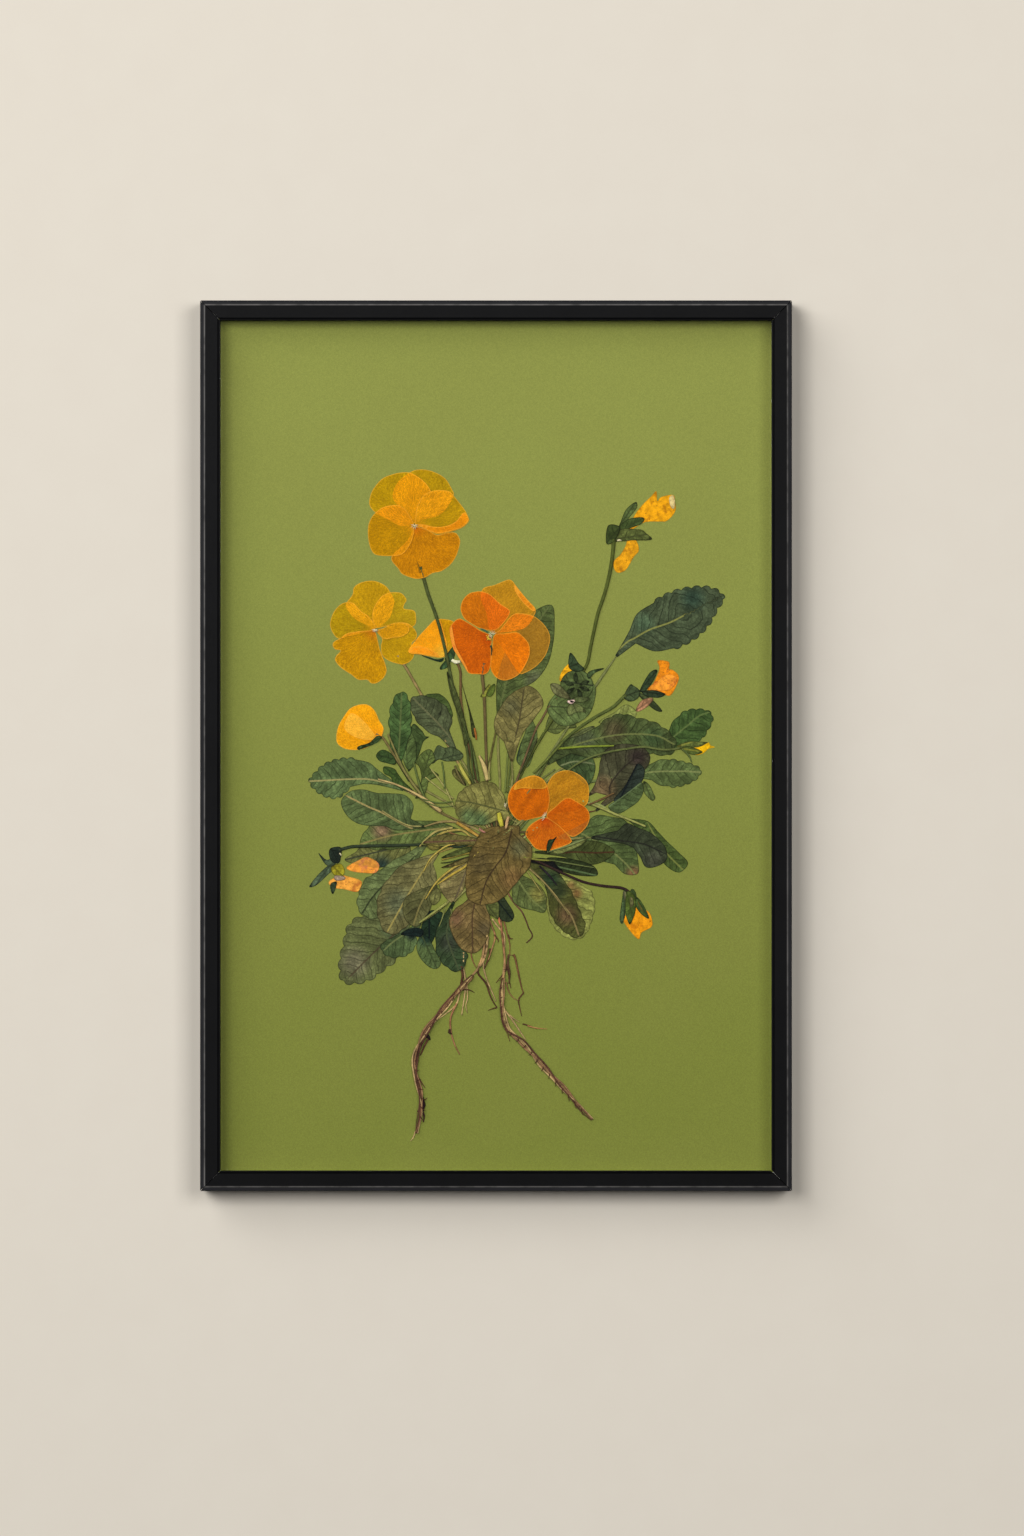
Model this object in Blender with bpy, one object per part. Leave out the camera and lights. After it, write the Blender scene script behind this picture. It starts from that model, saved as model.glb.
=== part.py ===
"""A pressed pansy plant, roots and all, behind glass in a slim black picture frame.

X runs to the right, Z up, and -Y out of the wall towards the viewer. The origin is the point
that the frame hangs from, on the wall. Every plant outline is in millimetres, as (across, up)
from the middle of the card, and the pieces lie on each other in the order they were laid.
"""

import math

import bmesh
import bpy
import numpy as np

MM = 0.001
GAP = 0.3  # between pieces that touch

# Frame, in millimetres
FRAME_WIDTH = 300.0
FRAME_HEIGHT = 451.5
RAIL_FACE = 10.3  # width of a rail seen from the front
RAIL_WALL = 5.6  # what is left beside the rabbet
LIP = 3.0  # thickness of the part that overlaps the glass
OUTER_BAND = 2.0  # low band round the outside, before the raised face
BAND_DROP = 0.5
OUTER_EASE = 0.6  # rounding of the outer arris
FACE_EASE = 0.4  # rounding of the raised face's edges
BEAD = 1.1  # small round bead at the sight edge
BEAD_DROP = 0.25
RECESS = 4.0  # from the wall to the back of the backing board
BACKING = 3.0
CARD = 1.5
CAVITY = 6.0  # from the card to the glass
GLASS = 2.0
SPACER_WIDTH = 3.2
HANG_DROP = 20.0  # from the top of the frame to the nail

FRAME_DEPTH = RECESS + BACKING + CARD + CAVITY + GLASS + LIP + 3 * GAP
BACKING_FRONT = RECESS + BACKING
CARD_BACK = BACKING_FRONT + GAP
CARD_FRONT = CARD_BACK + CARD
GLASS_BACK = CARD_FRONT + CAVITY
INNER_WIDTH = FRAME_WIDTH - 2 * (RAIL_WALL + GAP)
INNER_HEIGHT = FRAME_HEIGHT - 2 * (RAIL_WALL + GAP)
CARD_MIDDLE = HANG_DROP - FRAME_HEIGHT / 2  # height of the card's middle above the nail

# Hanger and tabs
HANGER_LENGTH = 44.0
HANGER_WIDTH = 9.0
HANGER_THICKNESS = 1.0
HANGER_TEETH = 9
HANGER_END = 4.0  # plain length at each end, past the teeth
HANGER_CORNER = 1.5
TOOTH_DEPTH = 2.0
TAB_LENGTH = 18.0
TAB_WIDTH = 7.0
TAB_TIP = 0.6  # width of its straight end, as a share
TAB_THICKNESS = 1.0
TAB_HEIGHT = 90.0  # above and below the middle
TAB_CLEARANCE = 2.0  # from its end to the rabbet's edge

# Plant
LEAF_THICKNESS = 0.2
FLOWER_THICKNESS = 0.4
ROOT_THICKNESS = 0.6
CROWN_THICKNESS = 1.2
CROWN_CENTRE = (0.0, -48.0)
CROWN_RADIUS = 9.0
BED_WIDE = (-115.0, 125.0)  # part of the card that the plant lies on
BED_TALL = (-205.0, 150.0)
CELL = 0.5  # grid on which the laid heights are kept
STALK_PITCH = 9.0  # between the points along a stalk's edge
SMOOTH_STEPS = 24  # samples between two outline points
TOOTHLESS = 0.17  # share of a blade's margin at each side of its stalk that has no teeth

SLOTS = {
    "black_frame": ((0.012, 0.012, 0.013), 0.38, 0.0),
    "clear_glass": ((0.9, 0.95, 0.93), 0.03, 0.0),
    "white_spacer": ((0.75, 0.74, 0.70), 0.6, 0.0),
    "green_card": ((0.26, 0.29, 0.065), 0.9, 0.0),
    "backing_board": ((0.24, 0.15, 0.08), 0.8, 0.0),
    "steel": ((0.55, 0.55, 0.55), 0.35, 1.0),
    "dried_leaf": ((0.06, 0.10, 0.04), 0.75, 0.0),
    "yellow_petal": ((0.80, 0.36, 0.01), 0.6, 0.0),
    "orange_petal": ((0.70, 0.16, 0.005), 0.6, 0.0),
    "withered_flower": ((0.35, 0.22, 0.03), 0.7, 0.0),
    "dried_root": ((0.28, 0.18, 0.08), 0.85, 0.0),
}


# ---------------------------------------------------------------- scene and materials


def clear_scene():
    for thing in list(bpy.data.objects):
        bpy.data.objects.remove(thing, do_unlink=True)


def make_material(slot):
    colour, roughness, metallic = SLOTS[slot]
    material = bpy.data.materials.new(slot)
    material.use_nodes = True
    shader = material.node_tree.nodes["Principled BSDF"]
    shader.inputs["Base Color"].default_value = (*colour, 1.0)
    shader.inputs["Roughness"].default_value = roughness
    shader.inputs["Metallic"].default_value = metallic
    if slot == "clear_glass":
        shader.inputs["Transmission Weight"].default_value = 1.0
    return material


def add(name, data, slot):
    piece = bpy.data.objects.new(name, data)
    data.materials.append(MATERIALS[slot])
    PARTS.objects.link(piece)
    return piece


# ---------------------------------------------------------------- basic shapes


def plate(name, outline, slot, front, thickness):
    """A flat piece that stands in the card's plane: front is how far its face is from the wall."""
    curve = bpy.data.curves.new(name, "CURVE")
    curve.dimensions = "2D"
    curve.fill_mode = "BOTH"
    curve.extrude = thickness / 2 * MM
    spline = curve.splines.new("POLY")
    spline.points.add(len(outline) - 1)
    for point, (across, up) in zip(spline.points, outline):
        point.co = (across * MM, up * MM, 0, 1)
    spline.use_cyclic_u = True
    piece = add(name, curve, slot)
    piece.rotation_euler = (math.radians(90), 0, 0)
    piece.location = (0, -(front - thickness / 2) * MM, CARD_MIDDLE * MM)
    return piece


def block(name, slot, size, middle):
    """A box of size (across, deep, up) with its middle at (across, out of the wall, up)."""
    bpy.ops.mesh.primitive_cube_add(size=1)
    piece = bpy.context.object
    mesh = piece.data
    bpy.data.objects.remove(piece)
    for vertex in mesh.vertices:
        vertex.co = [part * side * MM for part, side in zip(vertex.co, size)]
    piece = add(name, mesh, slot)
    across, out, up = middle
    piece.location = (across * MM, -out * MM, (up + CARD_MIDDLE) * MM)
    return piece


# ---------------------------------------------------------------- the frame


def rail_profile():
    """The rail's section as (in from the outer edge, out from the wall)."""
    face = FRAME_DEPTH
    bead_middle = RAIL_FACE - BEAD / 2
    bead = [
        (
            bead_middle - BEAD / 2 * math.cos(turn),
            face - BEAD_DROP - BEAD / 2 * (1 - math.sin(turn)),
        )
        for turn in [math.pi * step / 6 for step in range(1, 7)]
    ]
    return [
        (0.0, 0.0),
        (0.0, face - BAND_DROP - OUTER_EASE),
        (OUTER_EASE * 0.3, face - BAND_DROP - OUTER_EASE * 0.3),
        (OUTER_EASE, face - BAND_DROP),
        (OUTER_BAND, face - BAND_DROP),
        (OUTER_BAND + FACE_EASE * 0.3, face - FACE_EASE * 0.3),
        (OUTER_BAND + FACE_EASE, face),
        (RAIL_FACE - BEAD - FACE_EASE, face),
        (RAIL_FACE - BEAD, face - FACE_EASE),
        *bead,
        (RAIL_FACE, face - LIP),
        (RAIL_WALL, face - LIP),
        (RAIL_WALL, 0.0),
    ]


def make_rail(name, length, away, quarter_turns):
    """One mitred rail, away from the middle, turned about Y from the top rail's place."""
    curve = bpy.data.curves.new(name, "CURVE")
    curve.dimensions = "2D"
    curve.fill_mode = "BOTH"
    curve.extrude = length / 2 * MM
    spline = curve.splines.new("POLY")
    profile = rail_profile()
    spline.points.add(len(profile) - 1)
    for point, (inward, out) in zip(spline.points, profile):
        point.co = (inward * MM, -out * MM, 0, 1)
    spline.use_cyclic_u = True
    blank = bpy.data.objects.new(name, curve)
    PARTS.objects.link(blank)
    bpy.context.view_layer.update()
    solid = blank.evaluated_get(bpy.context.evaluated_depsgraph_get())
    mesh = bpy.data.meshes.new_from_object(solid)
    bpy.data.objects.remove(blank)
    cut_mitres(mesh, length)
    rail = add(name, mesh, "black_frame")
    # The section's inward and the length become down and across for the top rail.
    turn = quarter_turns * math.pi / 2
    rail.rotation_euler = (0, math.pi / 2 + turn, 0)
    rail.location = (
        away * math.sin(turn) * MM,
        0,
        (away * math.cos(turn) + CARD_MIDDLE) * MM,
    )
    return rail


def cut_mitres(mesh, length):
    """Cuts both ends at 45 degrees, half a gap back from the corner's diagonal."""
    work = bmesh.new()
    work.from_mesh(mesh)
    bmesh.ops.remove_doubles(work, verts=work.verts, dist=0.01 * MM)
    for end in (-1, 1):
        everything = work.verts[:] + work.edges[:] + work.faces[:]
        bmesh.ops.bisect_plane(
            work,
            geom=everything,
            plane_co=(0, 0, end * (length / 2 - GAP / 2 * math.sqrt(2)) * MM),
            plane_no=(1, 0, end),
            clear_outer=True,
        )
        bmesh.ops.holes_fill(work, edges=work.edges[:], sides=0)
    bmesh.ops.recalc_face_normals(work, faces=work.faces[:])
    work.to_mesh(mesh)
    work.free()


def make_frame():
    half_width, half_height = FRAME_WIDTH / 2, FRAME_HEIGHT / 2
    make_rail("rail_top", FRAME_WIDTH, half_height, 0)
    make_rail("rail_right", FRAME_HEIGHT, half_width, 1)
    make_rail("rail_bottom", FRAME_WIDTH, half_height, 2)
    make_rail("rail_left", FRAME_HEIGHT, half_width, 3)


def make_stack():
    """Backing board, card, spacers and glass, from the wall outwards."""
    sheets = [
        ("backing_board", "backing_board", BACKING_FRONT, BACKING),
        ("mount_card", "green_card", CARD_FRONT, CARD),
        ("glazing_pane", "clear_glass", GLASS_BACK + GLASS, GLASS),
    ]
    for name, slot, front, thickness in sheets:
        size = (INNER_WIDTH, thickness, INNER_HEIGHT)
        block(name, slot, size, (0, front - thickness / 2, 0))
    depth = CAVITY - 2 * GAP
    out = CARD_FRONT + CAVITY / 2
    beside = INNER_WIDTH / 2 - SPACER_WIDTH / 2
    above = INNER_HEIGHT / 2 - SPACER_WIDTH / 2
    upright = INNER_HEIGHT - 2 * (SPACER_WIDTH + GAP)
    for name, side in (("spacer_left", -1), ("spacer_right", 1)):
        size = (SPACER_WIDTH, depth, upright)
        block(name, "white_spacer", size, (side * beside, out, 0))
    for name, side in (("spacer_bottom", -1), ("spacer_top", 1)):
        size = (INNER_WIDTH, depth, SPACER_WIDTH)
        block(name, "white_spacer", size, (0, out, side * above))


def make_hanger():
    """A sawtooth plate: the nail sits in the notch at its middle, which is the origin."""
    pitch = (HANGER_LENGTH - 2 * HANGER_END) / HANGER_TEETH
    nail = FRAME_HEIGHT / 2 - HANG_DROP
    left = -HANGER_TEETH * pitch / 2
    teeth = []
    for tooth in range(HANGER_TEETH):
        teeth.append((left + tooth * pitch, nail - TOOTH_DEPTH))
        teeth.append((left + (tooth + 0.5) * pitch, nail))
    teeth.append((-left, nail - TOOTH_DEPTH))
    half = HANGER_LENGTH / 2
    top = nail - TOOTH_DEPTH + HANGER_WIDTH
    ends = [
        (half, nail - TOOTH_DEPTH),
        (half, top - HANGER_CORNER),
        (half - HANGER_CORNER, top),
        (HANGER_CORNER - half, top),
        (-half, top - HANGER_CORNER),
        (-half, nail - TOOTH_DEPTH),
    ]
    plate("sawtooth_hanger", teeth + ends, "steel", RECESS - GAP, HANGER_THICKNESS)


def make_tabs():
    """Four turn tabs on the backing board, pointing at the side rails."""
    reach = INNER_WIDTH / 2 - TAB_CLEARANCE
    middle = reach - TAB_LENGTH
    half = TAB_WIDTH / 2
    tip = half * TAB_TIP
    for row, up in (("upper", TAB_HEIGHT), ("lower", -TAB_HEIGHT)):
        for side, across in (("left", -1), ("right", 1)):
            arc = [math.pi / 2 + math.pi * step / 6 for step in range(7)]
            outline = [
                (across * (middle + half * math.cos(turn)), up + half * math.sin(turn))
                for turn in arc
            ]
            outline += [(across * reach, up - tip), (across * reach, up + tip)]
            plate(f"tab_{row}_{side}", outline, "steel", RECESS - GAP, TAB_THICKNESS)


# ---------------------------------------------------------------- outlines of plant pieces


def port(degrees):
    """A point on the rim of the crown, where a stalk leaves it."""
    reach = CROWN_RADIUS + 2.0
    turn = math.radians(degrees)
    return (
        CROWN_CENTRE[0] + reach * math.cos(turn),
        CROWN_CENTRE[1] + reach * math.sin(turn),
    )


def smooth(points, steps=SMOOTH_STEPS):
    """A Catmull-Rom curve through the points, as an array."""
    given = np.array(points, float)
    ends = np.vstack([2 * given[0] - given[1], given, 2 * given[-1] - given[-2]])
    share = np.linspace(0, 1, steps, endpoint=False)[:, None]
    runs = []
    for a, b, c, d in zip(ends, ends[1:], ends[2:], ends[3:]):
        runs.append(
            0.5
            * (
                2 * b
                + (c - a) * share
                + (2 * a - 5 * b + 4 * c - d) * share**2
                + (3 * b - a - 3 * c + d) * share**3
            )
        )
    return np.vstack([*runs, given[-1:]])


def along(curve):
    """Distance from the start to each point of a curve."""
    steps = np.hypot(*np.diff(curve, axis=0).T)
    return np.concatenate([[0.0], np.cumsum(steps)])


def at_distances(curve, distances):
    run = along(curve)
    return np.stack([np.interp(distances, run, curve[:, axis]) for axis in (0, 1)], 1)


def sideways(curve):
    """Unit vectors to the left of a curve."""
    step = np.gradient(curve, axis=0)
    step /= np.hypot(*step.T)[:, None]
    return np.stack([-step[:, 1], step[:, 0]], 1)


def ribbon_sides(route, widths, pitch):
    """Left and right edges of a stalk that follows a route, from start to end."""
    curve = smooth(route)
    count = max(3, int(along(curve)[-1] / pitch) + 1)
    distances = np.linspace(0, along(curve)[-1], count)
    line = at_distances(curve, distances)
    half = np.interp(np.linspace(0, 1, count), np.linspace(0, 1, len(widths)), widths) / 2
    step = sideways(line) * half[:, None]
    return line + step, line - step


def margin(points, teeth, depth):
    """A blade's edge from one side of its stalk round the tip to the other side."""
    curve = smooth(points)
    total = along(curve)[-1]
    if not teeth:
        count = max(len(points), 8)
        return at_distances(curve, np.linspace(0, total, count))
    first, last = TOOTHLESS * total, (1 - TOOTHLESS) * total
    tooth = (last - first) / teeth
    distances = [0.0, first / 2]
    cut = [0.0, 0.0]
    for number in range(teeth):
        distances += [first + tooth * (number + share) for share in (0, 0.35, 0.7)]
        cut += [depth, 0.0, 0.0]
    distances += [last, (last + total) / 2, total]
    cut += [depth, 0.0, 0.0]
    line = at_distances(curve, distances)
    inward = sideways(line) * np.array(cut)[:, None]
    centre = np.mean(line, axis=0)
    to_centre = centre - line
    side = np.sign(np.sum(inward * to_centre))
    return line + inward * (side if side else 1.0)


def stalked(route, widths, blade, teeth=0, depth=0.0, sharp=False):
    """Outline of a stalk with a blade or a flower at its end."""
    left, right = ribbon_sides(route, widths, STALK_PITCH)
    edge = np.array(blade, float) if sharp else margin(blade, teeth, depth)
    straight = math.dist(left[-1], edge[0]) + math.dist(edge[-1], right[-1])
    crossed = math.dist(left[-1], edge[-1]) + math.dist(edge[0], right[-1])
    if crossed < straight:
        edge = edge[::-1]
    return np.vstack([left[:-1], edge, right[:-1][::-1]])


# ---------------------------------------------------------------- laying pieces on the card


class Layers:
    """Heights above the card, cell by cell, as pieces are laid on each other."""

    def __init__(self):
        self.across = np.arange(*BED_WIDE, CELL)
        self.up = np.arange(*BED_TALL, CELL)
        self.height = np.zeros((len(self.up), len(self.across)))

    def covered(self, outline):
        """The cells that an outline covers, and the ones next to them."""
        grid_x, grid_y = np.meshgrid(self.across, self.up)
        inside = np.zeros(grid_x.shape, bool)
        low = outline.min(0) - CELL
        high = outline.max(0) + CELL
        window = (grid_x > low[0]) & (grid_x < high[0]) & (grid_y > low[1]) & (grid_y < high[1])
        x, y = grid_x[window], grid_y[window]
        hit = np.zeros(x.shape, bool)
        for (x0, y0), (x1, y1) in zip(outline, np.roll(outline, -1, axis=0)):
            if y0 == y1:
                continue
            crosses = (y0 > y) != (y1 > y)
            hit ^= crosses & (x < (x1 - x0) * (y - y0) / (y1 - y0) + x0)
        inside[window] = hit
        for start, end in zip(outline, np.roll(outline, -1, axis=0)):
            count = int(np.hypot(*(end - start)) / CELL * 2) + 1
            for share in np.linspace(0, 1, count):
                x, y = start + (end - start) * share
                column = int(round((x - self.across[0]) / CELL))
                row = int(round((y - self.up[0]) / CELL))
                inside[row - 1 : row + 2, column - 1 : column + 2] = True
        return inside

    def lay(self, outline, thickness):
        """Lays a piece on what is there and returns the height of its front face."""
        cells = self.covered(outline)
        front = self.height[cells].max() + GAP + thickness
        self.height[cells] = front
        return front


def lay_piece(name, outline, slot, thickness):
    front = LAYERS.lay(outline, thickness)
    plate(name, outline, slot, CARD_FRONT + front, thickness)


def leaf(name, route, blade, teeth=0, depth=0.7, stalk=(1.0, 1.4)):
    lay_piece(name, stalked(route, stalk, blade, teeth, depth), "dried_leaf", LEAF_THICKNESS)


def flower(name, slot, route, head, stalk=(1.0, 1.6)):
    outline = stalked(route, stalk, head, sharp=True)
    lay_piece(name, outline, slot, FLOWER_THICKNESS)


def root(name, route, widths):
    left, right = ribbon_sides(route, widths, STALK_PITCH / 2)
    outline = np.vstack([left, right[::-1]])
    lay_piece(name, outline, "dried_root", ROOT_THICKNESS)


# ---------------------------------------------------------------- the plant


def make_roots():
    root(
        "root_left",
        [port(259), (-4, -70), (-4.5, -90), (-5, -105), (-9, -113), (-15, -120), (-24, -130)]
        + [(-31, -139), (-37, -148), (-41, -158), (-41, -167), (-38.5, -178), (-38.5, -187)]
        + [(-40.5, -197)],
        (1.6, 1.8, 1.6, 2.2, 2.6, 3.0, 1.2),
    )
    root(
        "root_right",
        [port(269), (1, -70), (2.5, -90), (4.4, -110), (3, -125), (4.8, -142), (14, -151)]
        + [(24, -163), (34, -174), (43, -184), (49, -190)],
        (1.4, 1.4, 1.8, 2.0, 2.4, 2.6, 1.0),
    )
    root(
        "root_side",
        [port(279), (5, -72), (8.5, -79), (13.2, -84.5), (15.6, -90), (17.8, -96)]
        + [(18.3, -97.2), (15.4, -100.3)],
        (1.4, 1.1, 0.8, 0.7),
    )


def make_crown():
    turns = [2 * math.pi * step / 16 for step in range(16)]
    outline = np.array(
        [
            (
                CROWN_CENTRE[0] + CROWN_RADIUS * math.cos(turn),
                CROWN_CENTRE[1] + CROWN_RADIUS * math.sin(turn),
            )
            for turn in turns
        ]
    )
    lay_piece("crown", outline, "dried_root", CROWN_THICKNESS)


def make_back_leaves():
    """Leaves that lie on the card, from the top round to the right."""
    leaf(
        "leaf_behind_flower",
        [port(82), (2, -20), (1, 0), (2, 18)],
        [(0, 24), (0.5, 34), (4, 46), (10, 57), (18, 67), (27, 73), (29.5, 66), (29.5, 57)]
        + [(28, 47), (24, 37), (17, 31), (10, 27), (4, 21)],
    )
    leaf(
        "leaf_upper_right",
        [port(54), (20, -16), (33, 4), (46, 24), (51, 31), (60, 44), (67, 52.5)],
        [(67.5, 58), (69, 64), (76, 71), (85, 77), (95, 80.5), (106, 81.5), (113, 79.5)]
        + [(116.5, 75), (113, 69), (108.5, 61), (102, 54.5), (94, 50), (86, 47.3), (78, 48.8)]
        + [(71, 52)],
        teeth=15,
        depth=1.1,
    )
    leaf(
        "leaf_right_top",
        [port(27), (30, -14), (60, -3), (80, 1), (89, 3.5)],
        [(88, 8), (90.5, 13.5), (96, 18), (103, 19), (109, 17.5), (110.5, 13), (107.5, 7)]
        + [(104.5, 3), (98, 0), (92, -2)],
        teeth=8,
    )
    leaf(
        "leaf_right_middle",
        [port(20), (30, -24), (55, -17), (77, -13.5)],
        [(79, -9), (86, -6.3), (95, -7.7), (102.5, -10.2), (104.6, -13.5), (101, -18)]
        + [(93, -21), (85, -20.8), (79, -17.5)],
        teeth=9,
    )
    leaf(
        "leaf_right_mottled",
        [port(40), (18, -22), (31, -2)],
        [(33, 2), (42, 5), (50, 9.5), (57, 14.5), (64, 16.5), (72, 14.5), (80, 12.5), (86, 9)]
        + [(91, 4), (91.5, -1), (88, -5), (79, -4.5), (68, -4), (58, -6), (48, -6), (38, -4)],
        teeth=12,
    )
    leaf(
        "leaf_right_purple",
        [port(4), (30, -38), (46, -34), (54, -32), (60, -28)],
        [(57, -25.5), (52, -23.5), (46.5, -26.5), (50, -20), (52.5, -12), (53.5, -5), (57, -1)]
        + [(63, 1), (70, 0.6), (76, -1.5), (78.4, -6), (77, -11), (72, -12.5), (68, -19)]
        + [(64, -25)],
    )
    leaf(
        "leaf_right_far",
        [port(356), (28, -37), (46, -28.5), (60, -34.5), (70, -38.5), (76, -41.5)],
        [(78.5, -48), (84, -57), (87, -61.5), (94.5, -64.5), (97.5, -59), (91, -52.5)]
        + [(83, -44.5), (79, -39), (77, -38.3)],
    )
    leaf(
        "leaf_right_long",
        [port(348), (22, -49), (34, -46), (42, -44)],
        [(43, -49), (49, -57), (57, -59), (62, -61.5), (66, -65.5), (70, -66.3), (73, -63)]
        + [(71.5, -55), (70, -46), (66.5, -38.5), (60, -36.5), (52, -35), (45, -39)],
    )
    leaf(
        "leaf_right_dark",
        [port(340), (24, -50), (37, -47.5), (50, -46.7), (58, -47.5)],
        [(64, -49.7), (70, -52), (73.5, -57), (76.3, -61.8), (81, -61.5), (85.5, -59.5)]
        + [(87.3, -55), (84.5, -49.5), (79, -44.5), (73, -42), (66, -39.3), (62, -43)],
    )
    leaf(
        "leaf_right_narrow",
        [port(332), (18, -54), (30, -54)],
        [(34, -56.5), (42, -59.3), (50, -60.5), (57, -57.5), (60.5, -54), (54, -49.2)]
        + [(46, -48.2), (39, -50.4), (33, -53)],
    )


def make_left_side():
    """Leaves on the left, and the flower whose stalk runs behind one of them."""
    leaf(
        "leaf_left_upright",
        [port(132), (-28, -27), (-44, -18), (-50, -9)],
        [(-53, -4), (-54.3, 4), (-54.8, 12), (-53.8, 20), (-51, 26), (-48, 27.8), (-45, 25.8)]
        + [(-43.1, 20), (-42.8, 12), (-43.5, 5), (-46, -2), (-48, -8)],
        teeth=7,
    )
    leaf(
        "leaf_left_far",
        [port(151), (-30, -33), (-36, -28), (-42, -25), (-50, -21), (-57, -18.3)],
        [(-59, -13), (-63, -9.5), (-70, -6.3), (-79, -6.1), (-87, -8.7), (-92, -13), (-95.5, -18)]
        + [(-91.5, -23.5), (-85, -26.8), (-79, -26.3), (-73.5, -21.5), (-67, -19.3), (-60, -20)],
        teeth=13,
        depth=0.9,
    )
    leaf(
        "leaf_left_third",
        [port(171), (-16, -43.5), (-26, -43)],
        [(-29, -38.5), (-38, -38), (-48, -37), (-58, -38), (-65, -41), (-68.3, -46), (-69.8, -50)]
        + [(-64, -52.7), (-55, -53), (-45, -52), (-36, -49), (-28, -45.5)],
        teeth=8,
        depth=0.6,
    )
    leaf(
        "leaf_left_second",
        [port(161), (-22, -38), (-36, -41), (-46, -41)],
        [(-43.5, -37), (-42, -31), (-44, -26), (-52, -24.3), (-62, -23.8), (-70, -21.8)]
        + [(-76, -24.3), (-78.8, -28), (-77, -34), (-71.5, -39), (-64, -40.7), (-56, -41)]
        + [(-50, -43)],
    )
    flower(
        "flower_left",
        "yellow_petal",
        [port(122), (-12, -22), (-27, 5), (-38, 26), (-42, 33), (-47, 41)],
        [(-52, 41.7), (-57, 43), (-55.8, 37), (-58, 33), (-63, 31.5), (-70, 33.7), (-77, 38.5)]
        + [(-82, 43), (-80, 47.5), (-83.8, 51.5), (-84.8, 60), (-82.3, 69), (-77, 72.8)]
        + [(-73, 77), (-69.5, 82), (-64, 84.2), (-57, 82.2), (-52, 79), (-46.5, 77.2)]
        + [(-44.6, 73), (-41.2, 67.5), (-40.6, 61), (-39.8, 56), (-43, 50), (-41.8, 45)]
        + [(-44.5, 41)],
        stalk=(1.0, 1.3),
    )
    leaf(
        "leaf_left_grey",
        [port(114), (-9, -22), (-12, -16), (-18, -7), (-22, 0), (-26, 5)],
        [(-29, 4.6), (-34, 6.5), (-39, 10.5), (-42.5, 16), (-43.8, 21.5), (-42, 25.3)]
        + [(-36, 25.5), (-30, 23.5), (-25, 19.5), (-22.2, 13.5), (-23.8, 8)],
        teeth=6,
        depth=0.5,
    )


def make_lower_leaves():
    leaf(
        "leaf_lower_left",
        [port(213), (-20, -66), (-34, -79), (-46, -88)],
        [(-51, -86), (-59, -84.5), (-68, -85.5), (-75.5, -91), (-78.3, -101), (-80.3, -111)]
        + [(-79, -119.5), (-73, -121.6), (-64, -119.5), (-57, -114.5), (-49, -108), (-45, -99)]
        + [(-44, -92)],
        teeth=11,
        depth=1.2,
    )
    leaf(
        "leaf_lower_green",
        [port(178), (-12, -44.6), (-20, -42.8), (-29, -45), (-37, -50.5), (-41, -54)],
        [(-46, -55), (-54, -59), (-61, -64), (-67, -68), (-70.4, -76), (-70.7, -82)]
        + [(-67, -87), (-60, -88), (-53, -83), (-47, -74), (-42, -62)],
        teeth=9,
        depth=0.6,
    )
    leaf(
        "leaf_lower_brown",
        [port(193), (-14, -51), (-25, -51.8), (-31, -56), (-36, -61.5)],
        [(-42, -58), (-50, -62), (-57, -70), (-60.8, -80), (-59, -91), (-54, -96.2)]
        + [(-47, -93.5), (-40, -85), (-34, -76), (-30, -67), (-32, -60)],
        teeth=8,
        depth=0.5,
    )
    leaf(
        "leaf_lower_dark_green",
        [port(224), (-13, -66), (-25, -80), (-39, -90.5), (-46, -95)],
        [(-52, -97), (-58.2, -100), (-58.3, -104.5), (-54, -107.7), (-48, -107.5), (-44, -106)]
        + [(-40, -101), (-41, -96.5)],
        teeth=5,
        depth=0.6,
    )
    leaf(
        "leaf_lower_oval",
        [port(203), (-13, -59), (-24, -66.5), (-30, -70.5), (-37, -77)],
        [(-41, -74), (-46, -77), (-47.5, -84), (-45, -90), (-41, -92.2), (-37, -88.5)]
        + [(-33, -82), (-32, -76)],
    )
    leaf(
        "leaf_bottom_dark",
        [port(235), (-13, -70), (-22, -80), (-26, -87)],
        [(-29.5, -91), (-31.3, -99), (-29.7, -107), (-25, -113), (-19, -115), (-15.2, -110.5)]
        + [(-14.4, -106), (-19, -101), (-22.5, -94), (-24, -88)],
        teeth=6,
        depth=0.6,
    )
    leaf(
        "leaf_bottom_brown",
        [port(247), (-6, -68), (-9, -76)],
        [(-15, -78.5), (-21, -83), (-23.9, -89), (-21.8, -97), (-16.7, -104.2), (-11, -105.5)]
        + [(-6.3, -101.7), (-3.1, -93), (-3.3, -86), (-6, -79)],
    )
    leaf(
        "leaf_right_lower_green",
        [port(289), (6, -62), (10, -68)],
        [(8, -73), (8.5, -79), (12, -82), (17, -83), (22.5, -85), (25.6, -83.5), (25.5, -76)]
        + [(21, -70), (15, -66.5)],
    )
    leaf(
        "leaf_right_clear",
        [port(298), (16, -61), (27, -67)],
        [(26.2, -74), (25.5, -84), (29, -92), (35, -97.5), (41, -98.7), (46, -95.7), (49.2, -88)]
        + [(50.5, -81), (48.7, -74), (43, -70), (35, -66.5)],
        teeth=10,
        depth=0.5,
    )
    leaf(
        "leaf_right_lower",
        [port(307), (14, -58.5), (21, -64.5)],
        [(24, -69), (26, -75), (26.4, -82), (30, -90), (36, -95.7), (42, -97.8), (45.6, -92)]
        + [(43, -84.5), (39, -75), (34, -67), (27, -62)],
        teeth=9,
        depth=0.5,
    )


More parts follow.
